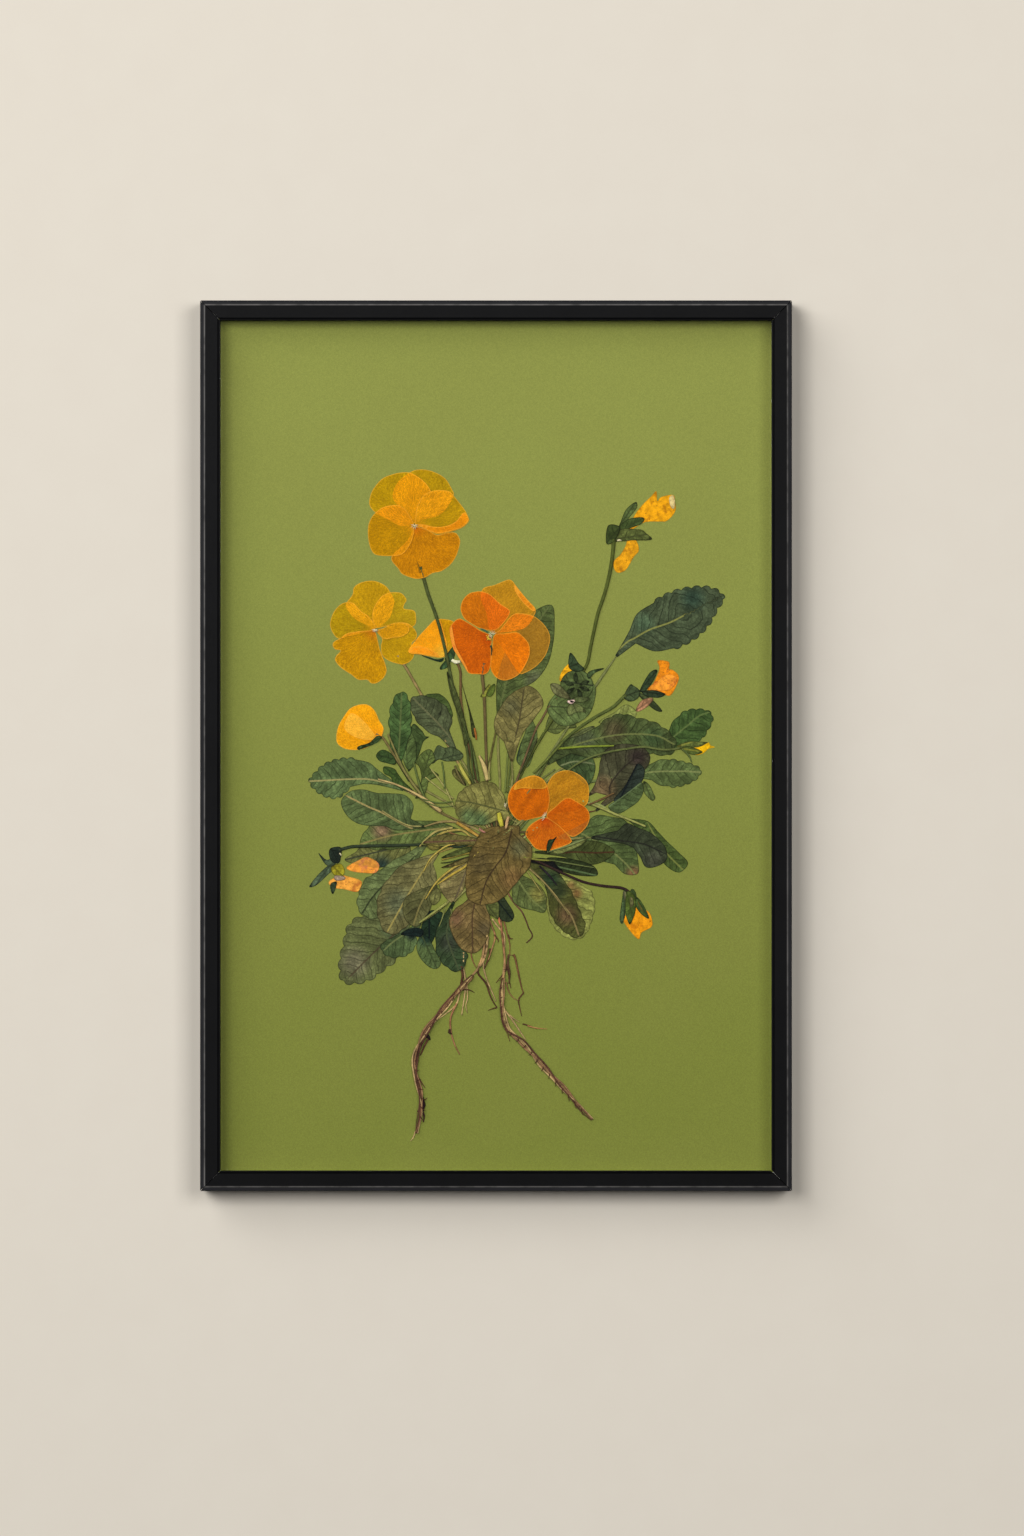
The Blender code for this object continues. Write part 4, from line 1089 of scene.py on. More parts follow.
def lay_upper_leaves():
    leaf(
        "leaf_behind_flower",
        (77, 88, 46),
        (96, 104, 58),
        rib=[(2, 14), (3, 24), (8, 40), (16, 55), (27, 71)],
        patches=[(20, 33, 5, (92, 96, 66))],
    )
    scrap(
        "leaf_low_green",
        [(25.5, 8), (26, 13), (29, 18.5), (32.5, 20), (37, 15), (41, 9.5), (35, 8.5), (31, 6)],
        (97, 106, 55),
    )
    scrap(
        "leaf_slate_strip",
        [(10.5, -8), (12, 0), (15, 8), (13, 12), (16, 16.5), (20, 10), (21, 4), (19.5, -3), (16, -11)],
        (87, 101, 55),
        (40, 58, 40),
    )
    leaf(
        "leaf_upper_right",
        (67, 77, 53),
        (140, 140, 72),
        rib=[(60, 47), (67, 53), (70, 54.5), (78, 59), (88, 62.5), (95, 66)],
        patches=[(75, 62, 5, (74, 92, 66)), (100, 75, 6, (52, 70, 54))],
        stalk=(120, 124, 72),
    )
    leaf(
        "leaf_right_top",
        (63, 84, 41),
        (96, 112, 60),
        rib=[(89, 3.5), (92, 6), (97, 10), (103, 15), (108, 17)],
    )
    leaf(
        "leaf_right_middle",
        (88, 102, 56),
        (128, 134, 80),
        rib=[(77, -13.5), (84, -13), (90, -13), (97, -13), (104, -13.5)],
        stalk=(110, 122, 70),
    )
    scrap(
        "leaf_pale_film",
        [(52, 12), (60, 17), (66, 21), (71, 18), (70, 14), (60, 11)],
        (126, 132, 68),
        (116, 126, 60),
    )


def lay_right_leaves():
    scrap(
        "leaf_cluster_dark",
        [(31, -9), (31, -3), (38, -2), (45, -2), (49, -6), (50.5, -12), (47, -20), (41, -16),
         (36, -12.5)],
        (62, 77, 43),
        (120, 126, 86),
        rib=[(33, -10), (40, -8), (49, -9)],
    )
    scrap(
        "leaf_cluster_light",
        [(35, 2), (43, 8), (50, 10), (48, 5), (45, 3)],
        (97, 104, 61),
    )
    leaf(
        "leaf_right_mottled",
        (72, 83, 45),
        (112, 118, 66),
        rib=[(33, -2), (45, 2), (58, 5), (70, 6), (82, 5), (90, 1)],
        patches=[(60, 8, 6, (84, 78, 50)), (45, 3, 5, (84, 92, 62)), (80, 4, 5, (66, 84, 48))],
    )
    leaf(
        "leaf_right_purple",
        (70, 69, 47),
        (44, 38, 30),
        rib=[(58, -24), (58, -20), (63, -13), (70, -7), (77, -4)],
        patches=[(54, -22, 6, (112, 92, 62)), (72, -6, 5, (60, 50, 44))],
        stalk=(96, 66, 42),
    )
    # painted shade: a dark sheet for the shadowed right side of the purple leaf, where it folds
    scrap(
        "leaf_fold_painted_shade",
        [(62, -29), (68, -24), (74, -18.5), (75.5, -12), (72, -9), (69, -14), (65, -21), (60, -27)],
        (46, 55, 46),
        (16, 22, 26),
    )
    scrap(
        "leaf_right_under",
        [(57, -31), (62, -34.5), (68, -31.5), (72.5, -28), (75, -23), (74, -18.5), (69, -22),
         (63, -26.5)],
        (78, 93, 54),
        (112, 130, 86),
    )
    leaf(
        "leaf_right_far",
        (69, 84, 39),
        (118, 124, 60),
        rib=[(78, -41), (82, -48), (87, -55), (95, -63)],
        stalk=(160, 166, 96),
    )
    scrap(
        "leaf_right_small",
        [(75, -18), (78, -20), (80, -24), (81, -26.5), (79.5, -28), (77, -26), (75, -23)],
        (90, 103, 54),
    )
    leaf(
        "leaf_right_long",
        (79, 93, 50),
        (118, 124, 70),
        rib=[(42, -44), (50, -48), (58, -53), (66, -60), (71, -66)],
        patches=[(70, -65.5, 4, (116, 84, 56))],
    )
    leaf(
        "leaf_right_dark",
        (60, 67, 46),
        (34, 34, 28),
        rib=[(50, -46), (62, -48), (75, -50), (84, -54)],
        patches=[(80, -58, 5, (70, 72, 56))],
    )
    leaf(
        "leaf_right_narrow",
        (68, 76, 37),
        (70, 40, 26),
        rib=[(33, -54.6), (40, -54), (50, -54.4), (60, -54)],
    )
    scrap(
        "leaf_pale_narrow",
        [(28, -53.5), (36, -50), (42, -47.5), (46, -46.5), (44, -50), (38, -53), (32, -55)],
        (133, 138, 75),
        (96, 108, 66),
    )
    scrap(
        "leaf_narrow_green",
        [(27, -60.5), (34, -64), (42, -66), (51.3, -66), (50, -61.5), (43, -58.5), (34, -57),
         (26, -57)],
        (40, 48, 24),
        (88, 108, 66),
    )


def lay_left_side():
    scrap(
        "leaf_left_shadow",
        [(-43, 10), (-38, 8), (-36, 5), (-34, 4.5), (-37, 2), (-39, -4), (-42, -10), (-45, -12)],
        (63, 78, 40),
    )
    scrap(
        "leaf_left_light",
        [(-45, -12), (-48, -5), (-50, 2), (-49, 6), (-46, 8), (-43, 7), (-40.8, 2), (-40.5, -3),
         (-41, -9)],
        (86, 103, 55),
    )
    leaf("leaf_left_upright", (69, 92, 48), (92, 104, 58), rib=[(-50, -8), (-49, 5), (-48, 27)])
    leaf(
        "leaf_left_far",
        (86, 102, 60),
        (158, 148, 92),
        rib=[(-55, -19), (-65, -17), (-75, -17), (-85, -17.5), (-95, -18)],
        stalk=(160, 140, 90),
    )
    scrap(
        "leaf_left_dark",
        [(-44, -50), (-48, -50.3), (-58, -50.3), (-68, -51), (-71.5, -54), (-77, -58), (-70, -60.7),
         (-60, -62), (-50, -60), (-44, -56)],
        (101, 102, 55),
        (52, 56, 44),
        patches=[(-58, -61, 5, (45, 60, 50))],
    )
    leaf(
        "leaf_left_third",
        (92, 105, 55),
        (138, 124, 72),
        rib=[(-28, -42), (-40, -43.5), (-55, -46), (-69, -50)],
        patches=[(-58, -43, 5, (118, 96, 70))],
    )
    leaf(
        "leaf_left_second",
        (83, 97, 56),
        (168, 148, 92),
        rib=[(-43, -42), (-50, -38.5), (-58, -34), (-65, -31), (-76, -25.5)],
        stalk=(150, 130, 80),
    )
    beyond = [(-46, 40), (-50, 46)]
    flower("flower_left", (150, 128, 78), beyond, left_petals, 1.15)
    scrap(
        "leaf_behind_grey",
        [(-36, 25.5), (-31, 26.6), (-28, 26), (-24, 22), (-22, 15), (-26, 14), (-33, 20)],
        (74, 90, 44),
    )
    leaf(
        "leaf_left_grey",
        (77, 84, 55),
        (104, 104, 70),
        rib=[(-24, 5), (-30, 12), (-36, 18), (-42, 24)],
        patches=[(-28.5, 16.5, 0.8, (16, 16, 14))],
    )
    scrap(
        "leaf_crown_dark",
        [(-33, -8), (-30, 0), (-26, -1), (-22, -0.5), (-17, -4), (-18, -7), (-25, -8), (-29, -7),
         (-32, -9)],
        (72, 83, 52),
    )


def lay_lower_leaves():
    leaf(
        "leaf_lower_left",
        (92, 97, 57),
        (74, 62, 44),
        rib=[(-45, -90), (-53, -97), (-63, -106), (-74, -117)],
        patches=[(-52, -92, 6, (88, 104, 70)), (-72, -110, 7, (112, 108, 80))],
    )
    leaf(
        "leaf_lower_green",
        (96, 107, 63),
        (40, 46, 28),
        rib=[(-42, -57), (-52, -66), (-62, -76), (-68, -85)],
        stalk=(170, 150, 76),
    )
    leaf(
        "leaf_lower_brown",
        (112, 107, 65),
        (160, 144, 78),
        rib=[(-30, -55), (-35, -61), (-38, -65), (-46, -78), (-55, -94)],
        patches=[(-50, -80, 7, (100, 104, 72))],
        stalk=(172, 148, 78),
    )
    scrap(
        "leaf_lower_blue_black",
        [(-34, -84), (-38, -92), (-37, -98), (-34, -101.5), (-31, -97), (-28.5, -90), (-27, -85)],
        (31, 48, 31),
        (10, 18, 22),
    )
    leaf(
        "leaf_lower_dark_green",
        (80, 96, 57),
        (110, 118, 70),
        rib=[(-46, -95.5), (-50, -98), (-54, -101), (-57, -104)],
        # painted shadow: the blue-black patch by the leaf's base
        patches=[(-43, -96, 3, (24, 36, 36))],
    )
    scrap(
        "leaf_lower_tip",
        [(-38, -96), (-40.5, -102), (-38.5, -108), (-34, -112.5), (-30, -113.3), (-28, -110),
         (-31, -104), (-34, -98)],
        (78, 93, 53),
        patches=[(-36, -98, 4, (38, 58, 44))],
    )
    scrap(
        "leaf_small_brown",
        [(-13, -58), (-20, -62), (-27, -67), (-29, -71), (-26, -77), (-21.5, -80), (-17.5, -75),
         (-14.5, -67), (-12.5, -61)],
        (129, 116, 72),
        (90, 78, 58),
    )
    leaf(
        "leaf_lower_oval",
        (98, 97, 57),
        (126, 116, 66),
        rib=[(-36, -76), (-39, -82), (-42, -91)],
        stalk=(188, 160, 66),
    )
    scrap(
        "leaf_small_oval",
        [(-30, -72), (-28, -75), (-29, -79), (-32, -81), (-34, -78), (-33, -75)],
        (119, 118, 66),
    )
    leaf(
        "leaf_bottom_dark",
        (51, 66, 40),
        (72, 80, 52),
        rib=[(-24, -88), (-25, -97), (-22, -106), (-19, -114)],
        patches=[(-24, -100, 5, (60, 66, 50))],
    )
    stalks(
        "stalks_pale",
        [
            ([(-25, -80), (-32, -85), (-39, -90)], (1.5, 1.3, 0.9), (150, 150, 80)),
            ([(-26, -83), (-27.5, -88), (-29, -92)], (0.7, 0.6, 0.5), (130, 134, 76)),
            ([(-23, -83), (-22.5, -86), (-22, -90)], (0.7, 0.6, 0.5), (118, 120, 70)),
        ],
    )
    leaf(
        "leaf_bottom_brown",
        (108, 90, 51),
        (74, 56, 36),
        rib=[(-10, -77), (-12, -86), (-12, -95), (-12, -105)],
        patches=[(-6, -93, 4, (84, 72, 46)), (-20, -88, 4, (124, 94, 64)),
                 (-14, -90, 4, (122, 100, 60))],
    )
    scrap(
        "leaf_black_oval",
        [(0.5, -78.5), (2, -77.5), (4, -77), (6, -80), (8, -83), (9.2, -86), (8.5, -88.5),
         (6.5, -89.6), (4, -89.2), (2, -88), (1.5, -84), (1, -80)],
        (44, 53, 33),
        (16, 26, 24),
    )
    scrap(
        "leaf_root_green",
        [(-5, -80), (1, -79.5), (1.5, -85), (1, -88), (-2, -86.5), (-4, -85)],
        (84, 90, 45),
    )
    leaf(
        "leaf_right_lower_green",
        (90, 100, 53),
        (112, 120, 66),
        rib=[(11, -68), (15, -74), (19, -79), (24, -83)],
        patches=[(21, -75.5, 4, (130, 126, 62))],
    )
    leaf(
        "leaf_right_clear",
        (136, 139, 70),
        (108, 104, 50),
        rib=[(28, -68), (35, -76), (40, -86), (43, -97)],
        patches=[(41, -75, 3, (126, 96, 54)), (38, -71, 2.5, (124, 100, 56))],
    )
    scrap(
        "leaf_shadow",
        [(16, -58), (22, -57), (28, -58), (31, -61), (34, -64), (30, -66), (26, -68), (22, -68),
         (18, -63)],
        (18, 19, 18),
        (22, 20, 20),
    )
    leaf(
        "leaf_right_lower",
        (82, 84, 40),
        (140, 122, 76),
        rib=[(17, -62), (25, -70), (32, -79), (38, -86), (42, -96)],
        patches=[(28, -68, 6, (52, 70, 44)), (32, -74, 4, (66, 76, 44)), (36, -86, 5, (108, 86, 56))],
    )


def left_petals(piece):
    """The open flower on the left; the last petal is a rim that folds over."""
    foot = (-61.4, 59.4)
    double, deep = (240, 165, 16), (160, 118, 0)
    petal(
        piece,
        [(-61.4, 59.6), (-66.6, 61.7), (-71.8, 64.6), (-75.3, 68.7), (-76.4, 72), (-73, 76.8),
         (-72.4, 80.2), (-70.1, 82.3), (-66, 83.7), (-61.4, 83.7), (-56.8, 81.7), (-54.4, 79.1),
         (-52.1, 75), (-51.8, 72.1), (-53.3, 66.9), (-55, 64)],
        foot, (200, 152, 12), double, deep,
    )
    petal(
        piece,
        [(-61.4, 60), (-62.8, 64.6), (-62.6, 68.7), (-60.8, 72.7), (-57.9, 76.2), (-53.9, 77.9),
         (-49.8, 78), (-47.5, 77.1), (-45.5, 74.2), (-46.6, 72.1), (-47, 69.8), (-43.4, 69.2),
         (-41.4, 68.4), (-40.8, 66.3), (-41.1, 61.7), (-46, 59.5), (-54, 61)],
        foot, (185, 150, 18), double, deep,
    )
    petal(
        piece,
        [(-61.4, 59.6), (-64.3, 65.2), (-68.9, 68.7), (-72.4, 72.4), (-75.9, 73), (-79.4, 71.6),
         (-82.8, 67.5), (-84.4, 61.7), (-82.8, 57.1), (-80, 54.5), (-75.9, 55.6), (-70, 57)],
        foot, (182, 146, 10), double, deep,
    )
    petal(
        piece,
        [(-61.8, 59), (-64, 58.6), (-70, 58.2), (-75.9, 57.1), (-79.1, 54.7), (-82.3, 53),
         (-83.1, 51), (-81.7, 49), (-79, 48.4), (-81.4, 45.5), (-81.7, 43.2), (-78.8, 39.7),
         (-73.6, 36.2), (-70, 33.6), (-65.5, 33.6), (-63.7, 31.9), (-60.8, 31.9), (-57.3, 34.5),
         (-55.7, 38), (-56.5, 42), (-57.9, 45.5), (-59.1, 49), (-60.2, 53.6)],
        foot, (206, 146, 4), (244, 160, 20), (150, 98, 0), (240, 120, 20),
    )
    petal(
        piece,
        [(-60.8, 58.8), (-56.8, 60), (-53.3, 62), (-48.7, 62.7), (-45.2, 62.3), (-42.3, 60.3),
         (-40.3, 57.1), (-40.8, 54.2), (-42.9, 51.9), (-41.7, 46.6), (-43.4, 43.2), (-46.9, 41.4),
         (-49.8, 41.7), (-54.4, 43.2), (-57.9, 46.1), (-58.5, 50.7), (-57.9, 54.2), (-60, 57)],
        foot, (190, 146, 10), double, deep,
    )
    petal(
        piece,
        [(-60, 58.4), (-56.8, 60), (-53.3, 62), (-48.7, 62.7), (-45, 61.4), (-44.4, 58), (-48, 55.6),
         (-52, 55), (-57, 54.4)],
        foot, (226, 160, 14), (232, 160, 14), deep,
    )
    hairs(piece, foot, (190, 330), 7, 2.6)


def top_petals(piece):
    """The open flower at the top left, its lowest petal the widest."""
    foot = (-41.4, 112.4)
    double, deep = (238, 156, 8), (150, 112, 0)
    petal(
        piece,
        [(-41.5, 114), (-47, 119), (-50, 122), (-52.6, 127), (-50, 134), (-43.3, 139.3),
         (-38, 140.5), (-32, 139.4), (-26, 136), (-22.5, 130.5), (-21.6, 127.2), (-25, 121),
         (-29.5, 117), (-37, 115)],
        foot, (184, 144, 8), double, deep,
    )
    petal(
        piece,
        [(-42, 113), (-48.5, 111.8), (-52.6, 113.8), (-57, 116), (-61.3, 118.5), (-64.2, 122),
         (-64.2, 126), (-62.4, 130.6), (-57.8, 135.8), (-52, 138.2), (-47.4, 139), (-43.3, 138.7),
         (-39.2, 136.4), (-35.8, 133.5), (-33.4, 129.8), (-32.6, 126), (-33.5, 121.4), (-36.9, 116.7)],
        foot, (188, 146, 6), double, deep,
    )
    petal(
        piece,
        [(-41, 111.4), (-42.7, 108.6), (-45, 104.6), (-49.1, 100.5), (-52.6, 97), (-53.1, 94.2),
         (-49.7, 90.1), (-47.9, 87.5), (-43.3, 85.5), (-39.8, 84.9), (-35.8, 85.7), (-32.3, 87.8),
         (-27.7, 88.9), (-23, 92.4), (-20.1, 97), (-18.4, 102.8), (-18.7, 105.7), (-20.7, 108.3),
         (-24.8, 108.3), (-30, 107.2), (-35, 109.8)],
        foot, (206, 132, 4), (238, 140, 10), (160, 96, 0), (232, 106, 6),
    )
    petal(
        piece,
        [(-41.6, 112.1), (-44.2, 117.3), (-46.8, 120.8), (-50.8, 122.4), (-57.2, 121.4),
         (-61.3, 118.5), (-63.6, 115.6), (-65, 111.5), (-65, 105.7), (-63.6, 99.9), (-60.7, 97),
         (-53.1, 96.5), (-48, 97.3), (-44.5, 101), (-42.3, 106)],
        foot, (196, 138, 2), (240, 152, 12), deep,
    )
    petal(
        piece,
        [(-41, 112), (-40.7, 117.9), (-39.8, 122.5), (-36.9, 127.2), (-32.6, 129.5), (-27.7, 130),
         (-23.6, 129.2), (-21.6, 127.2), (-16.1, 120.2), (-13.8, 115.6), (-14, 113.8),
         (-17.2, 110.9), (-23.6, 108.6), (-28.8, 107.5), (-33.5, 108.6), (-36.9, 110.9)],
        foot, (192, 146, 6), (240, 158, 14), deep,
    )
    petal(
        piece,
        [(-40, 112.4), (-36, 112.4), (-32, 111.4), (-26, 111.6), (-20.5, 114), (-16.4, 118.6),
         (-14.2, 116), (-14.4, 114), (-17.2, 111.3), (-23.6, 109), (-28.8, 108), (-33.5, 109)],
        foot, (236, 146, 10), (238, 146, 10), (214, 120, 0),
    )
    line = smooth([(-38.6, 88), (-39.4, 91), (-40.2, 94)])
    piece.tube(line, (0.7, 0.6, 0.2), "stalk", (150, 106, 16), vein=(120, 84, 12))
    hairs(piece, foot, (180, 350), 6, 2.2)


def middle_petals(piece):
    """The deep orange open flower, with two turned rims."""
    foot = (-2, 56.4)
    petal(
        piece,
        [(-3, 58.4), (-5, 67.8), (-7.6, 73.9), (-7.6, 77.9), (-5.8, 80.5), (-1, 81.7), (4.1, 83.8),
         (6.6, 84.5), (8.6, 83.5), (12.2, 78.4), (16.2, 73.9), (20, 69.8), (19.5, 66.5),
         (16.2, 61.2), (11.1, 58.7), (2, 57.7)],
        foot, (196, 138, 24), (222, 124, 16), (160, 108, 16),
    )
    petal(
        piece,
        [(9.4, 82), (12.6, 78.2), (16.4, 73.8), (19.9, 69.8), (19, 68.4), (15.5, 71), (11.5, 75.6),
         (9.6, 79)],
        foot, (228, 142, 26), (232, 140, 26), (200, 110, 10),
    )
    petal(
        piece,
        [(-3.5, 58.7), (-8.1, 59.7), (-11.1, 61.2), (-15.7, 64.2), (-17.7, 67.8), (-18, 70.8),
         (-16.7, 74.4), (-13.7, 77.4), (-10.1, 78.4), (-7.1, 78.4), (-3, 76.9), (2, 72.3),
         (6.6, 69.3), (6.8, 66.8), (4, 62.7), (0.5, 59.2)],
        foot, (206, 112, 8), (236, 112, 14), (170, 84, 0),
    )
    petal(
        piece,
        [(-0.6, 56.6), (2, 59), (8.1, 66.3), (12.2, 67.3), (18.2, 66.3), (22.3, 63.7), (25.8, 59.7),
         (27.4, 55.6), (26.9, 51), (24.8, 45.5), (20.3, 40.4), (14.7, 37.1), (11.7, 36.9), (8, 42),
         (3, 50)],
        foot, (184, 124, 22), (238, 128, 18), (146, 96, 12),
    )
    petal(
        piece,
        [(-2.6, 55.6), (-8.1, 58.7), (-11.1, 60.7), (-16.2, 63.7), (-18.7, 64.7), (-21.3, 63.2),
         (-23.6, 59.7), (-23.3, 56.1), (-21.8, 49.5), (-19.3, 45.5), (-16.2, 40.4), (-13.7, 36.9),
         (-8.1, 36.4), (-5.6, 36.4), (-3.5, 38.4), (-2.5, 43.5), (-2.6, 49.5)],
        foot, (208, 96, 4), (216, 98, 6), (176, 70, 0), (208, 58, 0),
    )
    petal(
        piece,
        [(-23.4, 57), (-21.8, 49.6), (-19.3, 45.4), (-16.2, 40.5), (-14, 37.2), (-15.6, 41.4),
         (-18.4, 46.4), (-20.6, 51), (-21.8, 57), (-22.6, 61)],
        foot, (232, 118, 44), (234, 118, 44), (220, 96, 20),
    )
    petal(
        piece,
        [(-1, 56.1), (4.1, 57.1), (9.6, 57.7), (12.2, 56.9), (16.2, 52.6), (17.2, 48.5),
         (16.5, 44.5), (13.7, 38.9), (11.1, 35.9), (7.1, 33.8), (3.5, 33.3), (0, 34.8),
         (-2.5, 38.4), (-2.8, 42.4), (-2, 49)],
        foot, (222, 122, 8), (236, 122, 6), (196, 98, 0),
    )
    wisp(piece, [(-2.8, 51), (-2.2, 49), (-2.4, 46)], (0.9, 0.7, 0.3), (54, 64, 44))
    wisp(piece, [(-8, 59.6), (-6, 58.8), (-4, 57.6)], (0.5, 1.0, 0.5), (70, 110, 80))
    hairs(piece, foot, (30, 250), 8, 2.3)
    hairs(piece, (-3.4, 55), (120, 300), 8, 1.8, (226, 190, 40))


def folded_petals(piece):
    """A flower folded in half, seen from its side, with its sepals."""
    foot = (-26.5, 46)
    outer = [(-27.8, 44.9), (-33.6, 45.5), (-38.2, 46.4), (-44.6, 47.8), (-40, 54.8), (-34.8, 60.5),
             (-31.3, 64)]
    under = [(-27.8, 64.5), (-22, 63.4), (-21, 60), (-20.6, 54), (-21.6, 50), (-24.5, 46.4)]
    folded = [(-28.6, 64), (-26.6, 58), (-25, 52), (-25.6, 47.6)]
    petal(piece, outer + under, foot, (206, 147, 4), (246, 154, 8), (190, 125, 0), (250, 199, 58))
    petal(piece, outer + folded, foot, (246, 153, 7), (250, 156, 8), (252, 182, 36), (252, 205, 68))
    petal(
        piece,
        [(-29, 45.4), (-33, 45.8), (-38.2, 46.7), (-44, 48), (-41, 50.6), (-36, 50), (-31.6, 48)],
        foot, (248, 140, 11), (248, 141, 11), (252, 192, 54),
    )
    sepal(
        piece,
        [(-26.6, 44.6), (-30, 44), (-35, 45.4), (-38, 46), (-33, 43.8), (-28, 42.6)],
        (54, 82, 58),
    )
    sepal(piece, [(-24, 48), (-21.6, 50.4), (-21, 46), (-23, 42.6), (-26, 44)], (58, 82, 46))
    sepal(piece, [(-24.6, 44), (-27.6, 41.4), (-28.6, 38.8), (-25.4, 39.4), (-23.4, 41.6)], (62, 88, 52))
    wisp(piece, [(-22.6, 43.6), (-20.4, 42.6), (-18.2, 42.8)], (1.4, 2.0, 1.2), (226, 220, 180), "hair")


def closed_petals(piece):
    """A closed flower that lies on its side, one petal lapped over the rest."""
    foot = (-60, 3)
    petal(
        piece,
        [(-59.5, 3), (-65, -0.5), (-70, -2), (-76.4, -1.6), (-80.5, 1), (-81.2, 5), (-80, 10.3),
         (-77.1, 15.3), (-74, 19.1), (-69, 21), (-65, 20.7), (-61.7, 17.8), (-59.5, 13), (-57.2, 8.5)],
        foot, (250, 170, 14), (252, 174, 18), (226, 136, 0), (250, 150, 30),
    )
    petal(
        piece,
        [(-61, 4), (-66, 3), (-72, 4.6), (-76.6, 8), (-76.8, 12), (-74, 16.4), (-70, 15), (-65, 10)],
        foot, (254, 182, 50), (254, 184, 54), (240, 160, 20),
    )
    sepal(
        piece,
        [(-58, 4.5), (-60, 2), (-64, 0), (-70, -2), (-70, -0.2), (-64.5, 1.6), (-60.6, 5)],
        (66, 86, 48),
    )


def front_petals(piece):
    """The orange flower in front, its petals loose and partly over each other."""
    foot = (25, -36)
    petal(
        piece,
        [(26, -35), (25.2, -28), (26, -20), (30, -14.2), (36.5, -12.5), (42.5, -14.9),
         (46.6, -19.3), (47.2, -25), (45.8, -30), (40, -33), (32, -34)],
        foot, (188, 128, 24), (205, 118, 14), (166, 98, 10), (210, 120, 20),
    )
    petal(
        piece,
        [(25, -35), (19, -37), (12, -38), (7.7, -34.1), (6, -29), (6.6, -23.8), (9.9, -18.9),
         (15.3, -15.9), (20.2, -15.2), (24.8, -18), (27, -24), (27, -30)],
        foot, (210, 104, 4), (210, 104, 4), (177, 78, 0),
    )
    petal(
        piece,
        [(10.4, -19), (15.3, -16), (20.2, -15.4), (24.6, -18), (25.4, -21.4), (20, -21.8), (13, -21.6),
         (9, -22.4)],
        foot, (199, 132, 26), (199, 132, 26), (171, 104, 10),
    )
    petal(
        piece,
        [(25.6, -36), (30, -31), (36, -26.5), (41, -28.4), (46, -31.8), (47.6, -36), (46.1, -40.9),
         (42, -45), (37.8, -46), (32, -41)],
        foot, (210, 104, 8), (206, 96, 4), (175, 76, 0),
    )
    petal(
        piece,
        [(25, -36.4), (20, -38.4), (16.4, -41.4), (15, -45), (17, -48.4), (20.2, -52.2), (25, -53.2),
         (29, -52.8), (37.6, -49.6), (37.8, -46.8), (33.6, -42), (29.4, -38.6)],
        foot, (208, 108, 14), (205, 100, 10), (177, 50, 0), (208, 66, 0),
    )
    sepal(
        piece,
        [(31, -46), (29, -47.4), (26.6, -48), (25.6, -53), (27.2, -53.4), (29, -49.4)],
        (46, 62, 36),
    )
    hairs(piece, foot, (80, 230), 7, 2.4)


def lay_flowers():
    flower("flower_folded", (112, 86, 52), [(-18.2, 38), (-20, 43)], folded_petals)
    flower("flower_top", (78, 86, 44), [(-37, 86), (-38.4, 91)], top_petals, 1.1)
    flower("flower_closed", (122, 108, 62), [(-57.5, 4), (-61, 6)], closed_petals)
    flower("flower_middle", (104, 88, 52), [(-7, 36), (-6, 42)], middle_petals, 1.1)


def bud_top_right(piece):
    """A withered flower on its side, with two long shrivelled petals."""
    foot = (62, 106)
    sepal(
        piece,
        [(60, 104), (62, 104), (66, 104.4), (72, 104.4), (79, 104.8), (77, 107.5), (72, 110)],
        (88, 96, 44),
    )
    withered(
        piece,
        [(67, 107), (66, 102), (63, 97), (60, 94), (60, 90), (62, 88), (66, 89.5), (70, 96),
         (72.5, 99), (72, 103), (70.4, 105)],
        foot, (226, 156, 22), (150, 92, 20),
    )
    withered(
        piece,
        [(67, 109), (74, 113), (78, 114), (84, 114), (87, 114.5), (91, 119), (91, 124), (90, 127.5),
         (84, 126.5), (82, 124.5), (81.5, 129.5), (79, 127), (74, 122), (70, 116.5)],
        foot, (232, 160, 18), (156, 90, 14),
    )
    withered(
        piece,
        [(88, 126), (90, 127.4), (91, 124), (90.4, 120.4), (88.6, 122)],
        foot, (214, 190, 126), (190, 130, 60),
    )
    sepal(
        piece,
        [(61, 109), (63, 113), (66, 120), (71, 124), (71.5, 121), (67, 115), (64, 110)],
        (84, 98, 52),
    )
    sepal(piece, [(62, 108), (63, 112), (68, 115.5), (75, 116), (74, 113), (68, 110.5)], (76, 92, 46))
    sepal(
        piece,
        [(60, 105), (63, 110), (72, 110), (77, 107.5), (79, 104.8), (70, 104.5), (64, 104)],
        (92, 100, 50),
    )
    sepal(piece, [(56, 103), (57, 112), (63, 111), (60, 104)], (64, 76, 36))
    wisp(piece, [(61.6, 104.2), (62.6, 104.6), (63.8, 104.4)], (0.6, 0.9, 0.4), HAIR, "hair", 0.5)


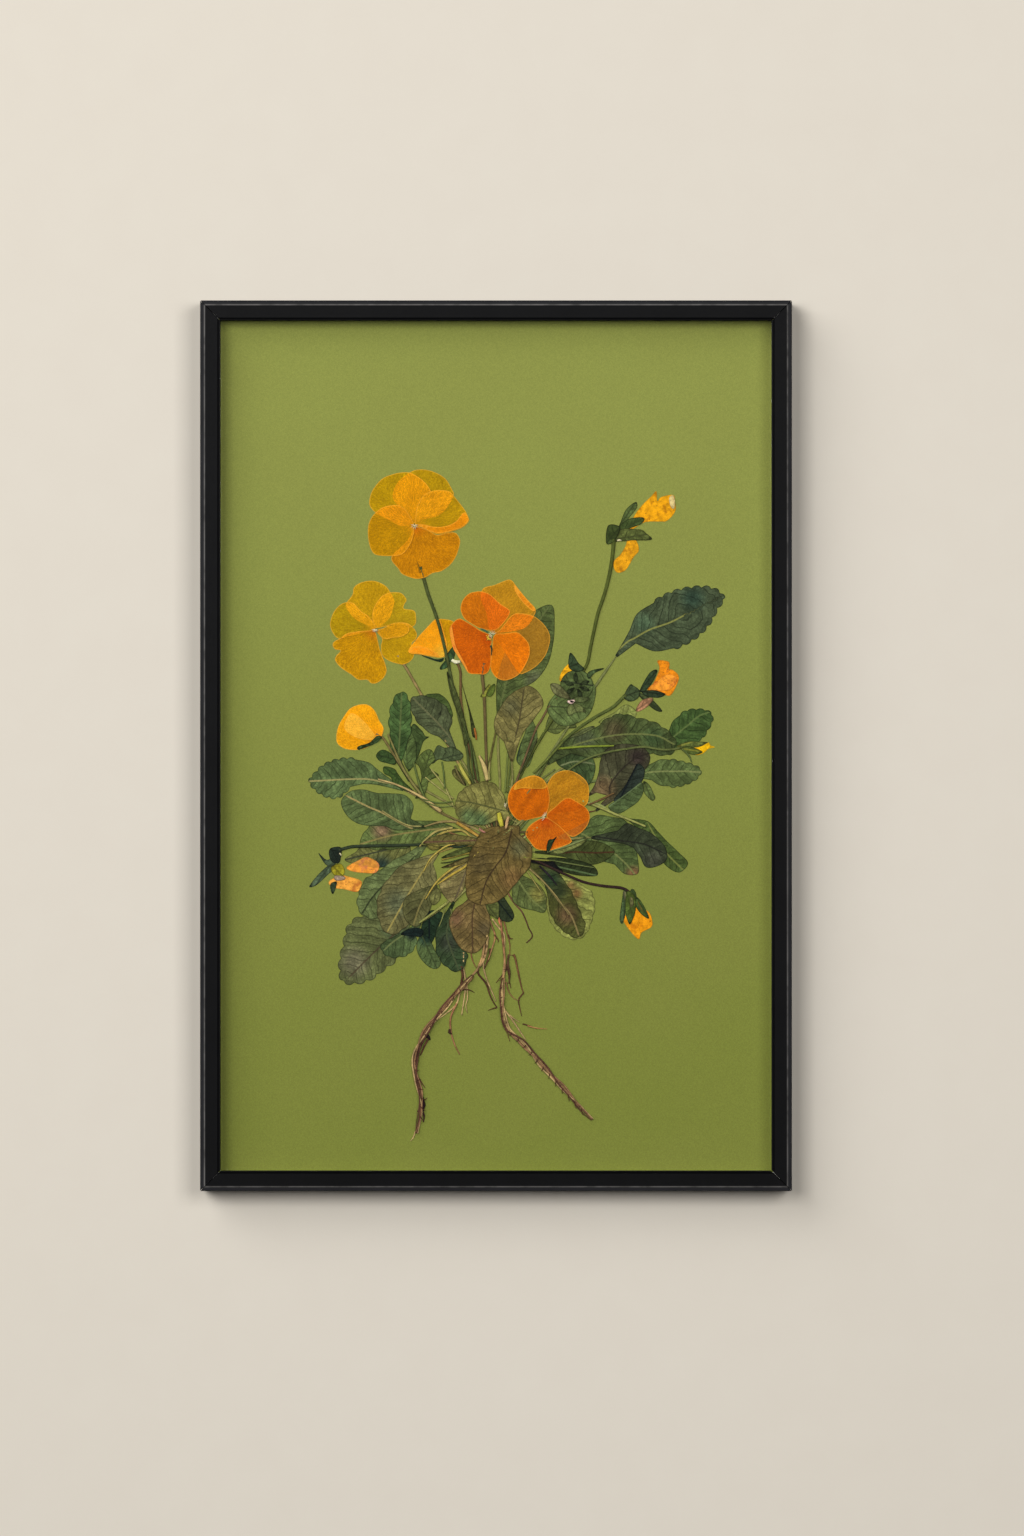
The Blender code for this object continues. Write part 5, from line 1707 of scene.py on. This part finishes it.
def bud_orange(piece):
    """A withered orange flower that droops to the right."""
    foot = (74, 28)
    sepal(
        piece,
        [(72, 26), (76, 22), (81, 18), (84.5, 17.5), (82, 21), (78, 24.5), (73, 27)],
        (66, 76, 44),
    )
    withered(
        piece,
        [(77, 28.5), (80, 32), (83, 39), (82, 43), (84, 43.5), (88, 42.5), (88, 39), (90, 38.5),
         (93, 35), (91, 29), (89, 26), (87, 25.5), (84, 27)],
        foot, (234, 138, 22), (170, 86, 30),
    )
    withered(
        piece,
        [(78, 29), (82, 33), (86, 36), (90, 36), (92, 34), (90, 30), (86, 28)],
        foot, (240, 150, 46), (196, 100, 40),
    )
    sepal(piece, [(73, 28), (78, 37), (82, 38.5), (80, 33), (76, 28)], (48, 62, 38))
    sepal(piece, [(74, 27.6), (80, 28.3), (85, 27), (86, 26), (83, 24.5), (77, 25)], (44, 56, 36))
    sepal(piece, [(65, 25), (68, 31), (70, 30.5), (73, 28), (72, 24), (68, 22.5)], (60, 72, 44))
    sepal(piece, [(71, 18), (73, 22), (76, 24), (80, 24), (77, 20), (73, 17.6)], (178, 128, 92))


def bud_wrinkled(piece):
    """A green crumpled bud: sepals round a ball of folds, with a pale tip."""
    foot = (34, 24)
    sepal(
        piece,
        [(26, 20), (30, 12), (36, 10), (44, 13), (49, 19), (50.5, 30), (44, 34), (34, 30)],
        (88, 102, 56),
    )
    withered(
        piece,
        [(32.4, 33), (33, 37), (36, 41), (38.6, 42.4), (41, 41), (41.6, 38), (36, 33)],
        foot, (232, 168, 22), (120, 80, 10),
    )
    crumple = [(41 + 8.4 * math.cos(t), 30.6 + 8 * math.sin(t)) for t in np.linspace(0, 5.7, 11)]
    sepal(piece, crumple, (84, 98, 54), (40, 48, 32))
    for turn in (20, 95, 160, 215, 290, 340):
        way = np.array([math.cos(math.radians(turn)), math.sin(math.radians(turn))])
        aside = np.array([-way[1], way[0]])
        start = np.array((41, 30.4)) + way * 1.4
        left, right = start + way * 3 + aside * 1.3, start + way * 3 - aside
        sepal(piece, [start, left, start + way * 5.6, right], (66, 78, 46))
    sepal(piece, [(37, 40), (37.4, 47), (39.4, 46), (42, 42), (45, 39), (41, 37.6)], (48, 62, 38))
    sepal(piece, [(47, 34), (50.4, 37), (55, 39.4), (50, 38.8), (46.6, 37)], (66, 82, 48))
    sepal(
        piece,
        [(27.6, 31.4), (31, 31.6), (33.4, 30), (38, 24), (33, 24.6), (29, 27)],
        (108, 108, 68),
        (80, 78, 48),
    )
    sepal(piece, [(39, 24.4), (43, 25), (47.6, 24.2), (44, 22), (39, 22.6)], (112, 124, 72))
    sepal(piece, [(38.6, 22), (43, 20.6), (45.6, 17.4), (41, 17), (37, 15.4), (36, 19)], (104, 112, 64))
    wisp(piece, [(36.4, 22.6), (38, 22.2), (40, 23)], (1.0, 2.2, 1.0), (225, 190, 176), "hair", 0.5)
    wisp(piece, [(37.6, 22.8), (38.6, 22.4), (39.4, 22.6)], (0.5, 1.2, 0.5), (44, 30, 36), "stalk", 0.5)


def bud_far_right(piece):
    """A small pointed bud with its yellow showing."""
    foot = (98, -1)
    sepal(
        piece,
        [(92, -0.6), (95, 1.4), (100, 2.2), (108, 1.6), (102, -0.6)],
        (96, 106, 50),
        (140, 140, 60),
    )
    withered(
        piece,
        [(99, -1.5), (104, -0.4), (108, 1.7), (109, 0.2), (111.4, -0.7), (108, -1.6), (105, -4),
         (101, -4.6)],
        foot, (248, 190, 14), (214, 140, 0),
    )
    sepal(
        piece,
        [(94, -1.4), (98, -0.2), (105, -3), (101, -4.6), (97, -3.6)],
        (86, 98, 44),
        (130, 130, 50),
    )
    wisp(piece, [(94.6, -1.6), (98, -5), (99.4, -8.4)], (0.9, 1.0, 0.6), (96, 110, 58), "stalk", 0.8)


def bud_left(piece):
    """A withered flower whose sepals spread, with two orange petals below."""
    foot = (-79, -63)
    withered(
        piece,
        [(-76, -61.8), (-70, -58.2), (-65.6, -56.6), (-59.7, -59.8), (-61, -64.4), (-68, -64.6),
         (-73.5, -63.7)],
        foot, (240, 152, 54), (196, 110, 80),
    )
    withered(
        piece,
        [(-79, -66), (-73, -67), (-69.4, -68.2), (-68.2, -69.8), (-70.5, -74.2), (-77, -73),
         (-83, -72), (-85, -69)],
        foot, (236, 160, 62), (160, 74, 34),
    )
    sepal(
        piece,
        [(-84, -60), (-90, -65), (-95, -71.5), (-91.6, -71), (-86, -66), (-82, -62)],
        (76, 90, 66),
    )
    sepal(piece, [(-82, -56), (-86, -58), (-90.4, -54.4), (-86.4, -60.6), (-82, -60.6)], (72, 86, 62))
    sepal(piece, [(-84, -70), (-84.2, -73), (-83, -75.4), (-81.6, -72.4), (-81, -69)], (60, 74, 50))
    sepal(
        piece,
        [(-83, -61), (-79, -60), (-77, -63), (-78, -66.4), (-82, -66), (-84, -63)],
        (150, 140, 34),
    )
    sepal(piece, [(-82, -66), (-77.4, -66.4), (-77, -68), (-81.6, -68.4)], (206, 176, 150))
    sepal(
        piece,
        [(-84, -52), (-79, -51.6), (-78.8, -56), (-80, -59.6), (-83.4, -59), (-85, -55)],
        (36, 46, 36),
    )
    wisp(piece, [(-79.6, -54.6), (-79, -55.2), (-78.6, -56)], (0.5, 0.8, 0.4), HAIR, "hair", 0.5)


def bud_lower_right(piece):
    """A hanging bud: three sepals over a shrivelled orange flower."""
    foot = (69, -80)
    withered(
        piece,
        [(66, -86), (70, -82), (77, -84), (79.2, -88), (79, -92), (74, -95), (72.5, -98.4), (68, -94),
         (64.6, -88.6)],
        foot, (232, 148, 16), (190, 104, 8),
    )
    sepal(piece, [(68.6, -73), (70.4, -73.4), (71.4, -77), (69.6, -78.4), (68, -76)], (72, 92, 46))
    sepal(
        piece,
        [(65, -73), (66.4, -76), (65.8, -83), (65.2, -88), (64, -90.6), (62.8, -88), (63.8, -80)],
        (72, 90, 54),
    )
    sepal(
        piece,
        [(71.4, -77), (73.4, -78.6), (76, -83), (77.8, -87.8), (75, -86.6), (72, -83.4), (70.8, -80)],
        (74, 94, 44),
    )
    sepal(
        piece,
        [(66.4, -74), (70, -75.6), (71, -80), (70.7, -84.8), (69.6, -88), (67.9, -90.8), (66, -86),
         (65.7, -79)],
        (84, 100, 40),
    )
    sepal(piece, [(71.8, -79), (73, -80.4), (75, -84.4), (73.4, -83)], (186, 176, 84))
    sepal(piece, [(65, -73.6), (66, -75), (65.6, -78.6), (64.8, -76)], (176, 172, 120))
    sepal(piece, [(68, -77), (69.6, -77.6), (69.8, -81), (68.4, -82)], (150, 146, 90))


def lay_buds():
    flower("bud_top_right", (82, 90, 38), [(59.4, 99), (60, 105)], bud_top_right, 1.05)
    flower("bud_orange", (86, 96, 46), [(61, 21), (66, 26)], bud_orange, 1.1)
    flower("bud_wrinkled", (110, 88, 58), [(23, 13), (27, 20), (31, 24)], bud_wrinkled)
    flower("bud_far_right", (100, 108, 58), [(90, -1.8), (95, -0.5)], bud_far_right)
    flower("bud_left", (52, 62, 42), [(-74, -51.4), (-80, -53)], bud_left, 1.1)
    beyond = [(62.8, -72.1), (66.4, -73.4), (68.6, -75.6)]
    flower("bud_lower_right", (54, 38, 32), beyond, bud_lower_right, 1.05)


def lay_crown_pieces():
    """Stipules, stalk ends and narrow blades that crowd round the crown."""
    scrap(
        "stipule_feathered",
        [(-40, -24), (-38, -17), (-39, -11), (-41, -8), (-37, -3), (-33, -2), (-31, -7), (-34, -11),
         (-29, -15), (-34, -18), (-36, -24), (-41, -27)],
        (82, 94, 46),
    )
    scrap(
        "lobe_left",
        [(-51, -7), (-54, -3.4), (-58, -2), (-61, -4.6), (-59.4, -7.6), (-55, -9), (-51.4, -9.6)],
        (55, 74, 37),
    )
    scrap(
        "stipule_left",
        [(-57, -10.5), (-52, -11.5), (-50, -14), (-47, -18), (-41, -24), (-46, -23), (-52, -19.5),
         (-53.6, -16), (-57, -14)],
        (63, 83, 37),
    )
    scrap(
        "blade_tall",
        [(-16, 0), (-18, 12), (-23, 26), (-25, 38), (-21, 30), (-17, 18), (-14, 4)],
        (71, 78, 39),
    )
    scrap(
        "blade_short",
        [(-12, 5), (-14, 18), (-18, 34), (-15.6, 26), (-12, 14), (-10, 6)],
        (65, 71, 35),
    )
    scrap(
        "bud_small_left",
        [(-8, 25), (-6, 28), (-3.6, 31.4), (-2.6, 29), (-5, 25)],
        (130, 130, 50),
    )
    scrap(
        "bud_small_right",
        [(-5, 26), (-3, 30), (-0.6, 31.6), (-0.6, 28), (-2.6, 25)],
        (100, 116, 46),
    )
    scrap("bract_olive", [(-22, -12), (-19, -13), (-15, -20), (-18, -19), (-22, -15)], (98, 94, 48))
    straw, pale, green = (200, 172, 112), (164, 158, 92), (98, 112, 58)
    stalks(
        "stalks_left",
        [
            ([(-42, -8), (-40, -16), (-37, -25), (-33, -31)], (0.9, 1.2, 1.3), green),
            ([(-55, 6), (-47, -12), (-38, -25)], (1.0, 1.3, 1.4), (132, 124, 70)),
            ([(-60, -17), (-50, -20), (-38, -26), (-28, -33.4)], (0.8, 1.2, 2.2), straw),
            ([(-36, -16), (-27, -23), (-21.6, -27)], (0.7, 0.9, 0.9), pale),
            ([(-33, -12), (-29, -17), (-25, -23), (-21.6, -31)], (0.7, 1.0, 0.8), pale),
            ([(-27.6, -8), (-26.6, -14), (-26, -22)], (0.8, 0.9, 0.7), green),
            ([(-39, -26.6), (-30, -29), (-22, -28.4)], (0.6, 0.8, 0.6), green),
            ([(-37, -28), (-29, -31), (-22, -30.6)], (0.5, 0.7, 0.5), (112, 122, 66)),
            ([(-58, -33), (-50, -38), (-44, -40.6), (-38, -41)], (0.7, 0.9, 0.8), (160, 150, 90)),
            ([(-39, -51.4), (-35, -47), (-30, -43.4), (-22, -41.6)], (0.8, 1.2, 1.3), (176, 160, 92)),
            ([(-38, -50), (-29, -50.6), (-20, -50), (-10, -50)], (1.0, 1.2, 1.2), (120, 120, 60)),
            ([(-37, -64), (-33, -57), (-26, -51.4), (-20, -49.6)], (0.7, 1.0, 0.9), (190, 168, 80)),
            ([(-36, -78), (-30, -69), (-22, -62.4), (-15, -58.6), (-9, -54)], (0.7, 1.2, 1.2),
             (184, 160, 74)),
            ([(-27.6, -58), (-20, -56), (-13, -54.4)], (0.8, 1.0, 0.9), (150, 132, 58)),
            ([(-28, -59.6), (-23, -59), (-14, -56.4)], (0.5, 0.7, 0.6), (52, 62, 34)),
            ([(-24, -44), (-18, -46), (-11, -48)], (0.8, 1.2, 0.8), (122, 90, 56)),
            ([(-32, -48), (-24, -47), (-16, -48.4)], (0.8, 1.0, 0.7), (150, 116, 76)),
        ],
    )
    stalks(
        "stalks_upper",
        [
            ([(-19, -9), (-16.4, -14), (-13, -19.6)], (1.6, 2.2, 1.6), (176, 168, 76)),
            ([(-21, -10), (-19, -15), (-16, -20)], (0.9, 1.1, 0.8), (110, 100, 58)),
            ([(-13.6, 4), (-11, -6), (-9, -18)], (1.0, 1.4, 1.2), (92, 104, 52)),
            ([(-16, 10), (-13, 0), (-12, -10), (-11, -17)], (0.8, 1.0, 0.9), (74, 86, 42)),
            ([(0, 8), (-2, -2), (-3.4, -9)], (0.8, 1.0, 1.0), (104, 96, 50)),
            ([(-8.6, -5), (-6, -10.6), (-4.4, -17.6)], (1.2, 2.6, 2.2), (196, 172, 110)),
            ([(-3, -8), (-3.6, -13), (-3.4, -17.6)], (0.8, 1.0, 1.0), (150, 140, 80)),
            ([(-11, 9), (-10.4, 6), (-10, 3)], (0.8, 1.2, 0.6), (182, 112, 48)),
            ([(6.4, 4), (5.6, -10), (4.4, -24)], (0.7, 1.0, 0.8), (118, 128, 64)),
            ([(7.6, -4), (6.8, -14), (5.6, -24)], (0.6, 0.8, 0.7), (96, 106, 52)),
            ([(21, 4), (17, -5), (12, -14)], (0.7, 0.9, 0.9), (70, 74, 40)),
            ([(31, -1.5), (45, -0.4), (60, 0)], (1.3, 1.2, 0.8), (136, 150, 52)),
            ([(30, -12), (22, -18), (15, -25)], (0.8, 1.0, 0.8), (112, 116, 64)),
            ([(34, 2), (26, -7), (19, -14)], (1.0, 1.3, 1.2), (104, 112, 52)),
            ([(44, -28), (52, -31), (60, -34.5), (70, -38.5), (76, -41)], (1.4, 1.3, 1.1),
             (160, 160, 88)),
            ([(47, -30), (54, -27), (60, -24)], (0.9, 1.1, 0.8), (120, 92, 56)),
        ],
    )
    stalks(
        "stalks_right",
        [
            ([(14, -56.6), (22, -58), (30, -58.4)], (1.0, 1.2, 0.7), (128, 128, 56)),
            ([(17, -62.6), (24, -69), (31, -77), (37, -86)], (0.9, 0.8, 0.5), (150, 134, 80)),
            ([(16, -64), (20, -70), (24, -76)], (0.7, 0.8, 0.5), (150, 140, 76)),
            ([(26, -54), (36, -51), (45, -47.6)], (0.8, 1.2, 0.6), (132, 142, 84)),
            ([(27, -58), (38, -60), (50, -62)], (0.5, 0.8, 0.4), (110, 120, 66)),
            # painted shadow: a dark strand along the shaded gap where leaf_shadow lies
            ([(22, -61), (27, -66), (31, -71)], (0.8, 1.0, 0.5), (40, 34, 40)),
        ],
    )
    scrap(
        "shadow_lower_left",
        [(-48.4, -96), (-45, -93.4), (-40, -92.4), (-37, -94), (-38, -97), (-42, -96.8)],
        (24, 37, 34),
    )
    scrap(
        "leaf_pink_brown",
        [(-37, -49), (-30, -45.5), (-22, -45), (-14, -46), (-8, -48), (-10, -50), (-25, -50),
         (-34, -50.5)],
        (97, 89, 47),
        (96, 66, 52),
    )
    scrap("strip_tan", [(-35, -50), (-33, -53), (-28, -52), (-30, -50)], (121, 112, 53))
    scrap(
        "strip_green_upper",
        [(-28, -57), (-20, -53), (-12, -51), (-12, -53), (-20, -56)],
        (82, 89, 43),
    )
    scrap(
        "strip_green_lower",
        [(-28, -62), (-20, -58.6), (-13, -56), (-13, -58), (-20, -61)],
        (98, 87, 46),
    )


def lay_front():
    """What lies over the crown: the front flower, two leaves and cut stalk ends."""
    leaf(
        "leaf_olive_brown",
        (117, 108, 61),
        (70, 62, 38),
        rib=[(10, 5), (12, 14), (14, 28)],
        patches=[(8, 20, 5, (96, 92, 58))],
    )
    flower("flower_front", (96, 84, 50), [(16, -44)], front_petals)
    leaf(
        "leaf_front_green",
        (124, 119, 63),
        (78, 80, 44),
        rib=[(4, -33), (-4, -31), (-12, -29), (-20, -28)],
        patches=[(-8, -38, 5, (82, 100, 60)), (-14, -36, 5, (88, 104, 62))],
    )
    leaf(
        "leaf_front_brown",
        (103, 86, 45),
        (58, 44, 28),
        rib=[(8, -43), (5, -54), (0, -61), (-5, -69), (-8, -80)],
        patches=[(12, -52, 5, (96, 92, 58)), (-8, -60, 6, (92, 78, 44)), (8, -68, 6, (116, 90, 50))],
    )
    stalks(
        "stalk_stubs",
        [
            ([(1.5, -34), (2, -37), (3, -41)], (2.2, 3.0, 2.0), (190, 180, 62)),
            ([(6.4, -36), (5.6, -38.5), (5, -42)], (1.4, 1.8, 1.2), (200, 160, 110)),
            ([(-20, -39), (-15, -42), (-9, -46)], (1.6, 2.0, 1.4), (185, 145, 66)),
            ([(-8.6, -42), (-7, -43.4), (-5.4, -44)], (0.7, 1.1, 0.6), (190, 130, 110)),
        ],
    )
    piece = Piece("throat_hairs")
    hairs(piece, (4, -30), (-60, 60), 5, 1.5)
    piece.done()


dress_frame()
lay_rootlets()
lay_main_roots()
lay_crown()
lay_upper_leaves()
lay_right_leaves()
lay_left_side()
lay_lower_leaves()
lay_flowers()
lay_buds()
lay_crown_pieces()
lay_front()
make_wall()
make_light()
make_camera()

print("highest piece", round(float(settled(bed.height.max())), 2), "of", round(float(ROOM), 2))
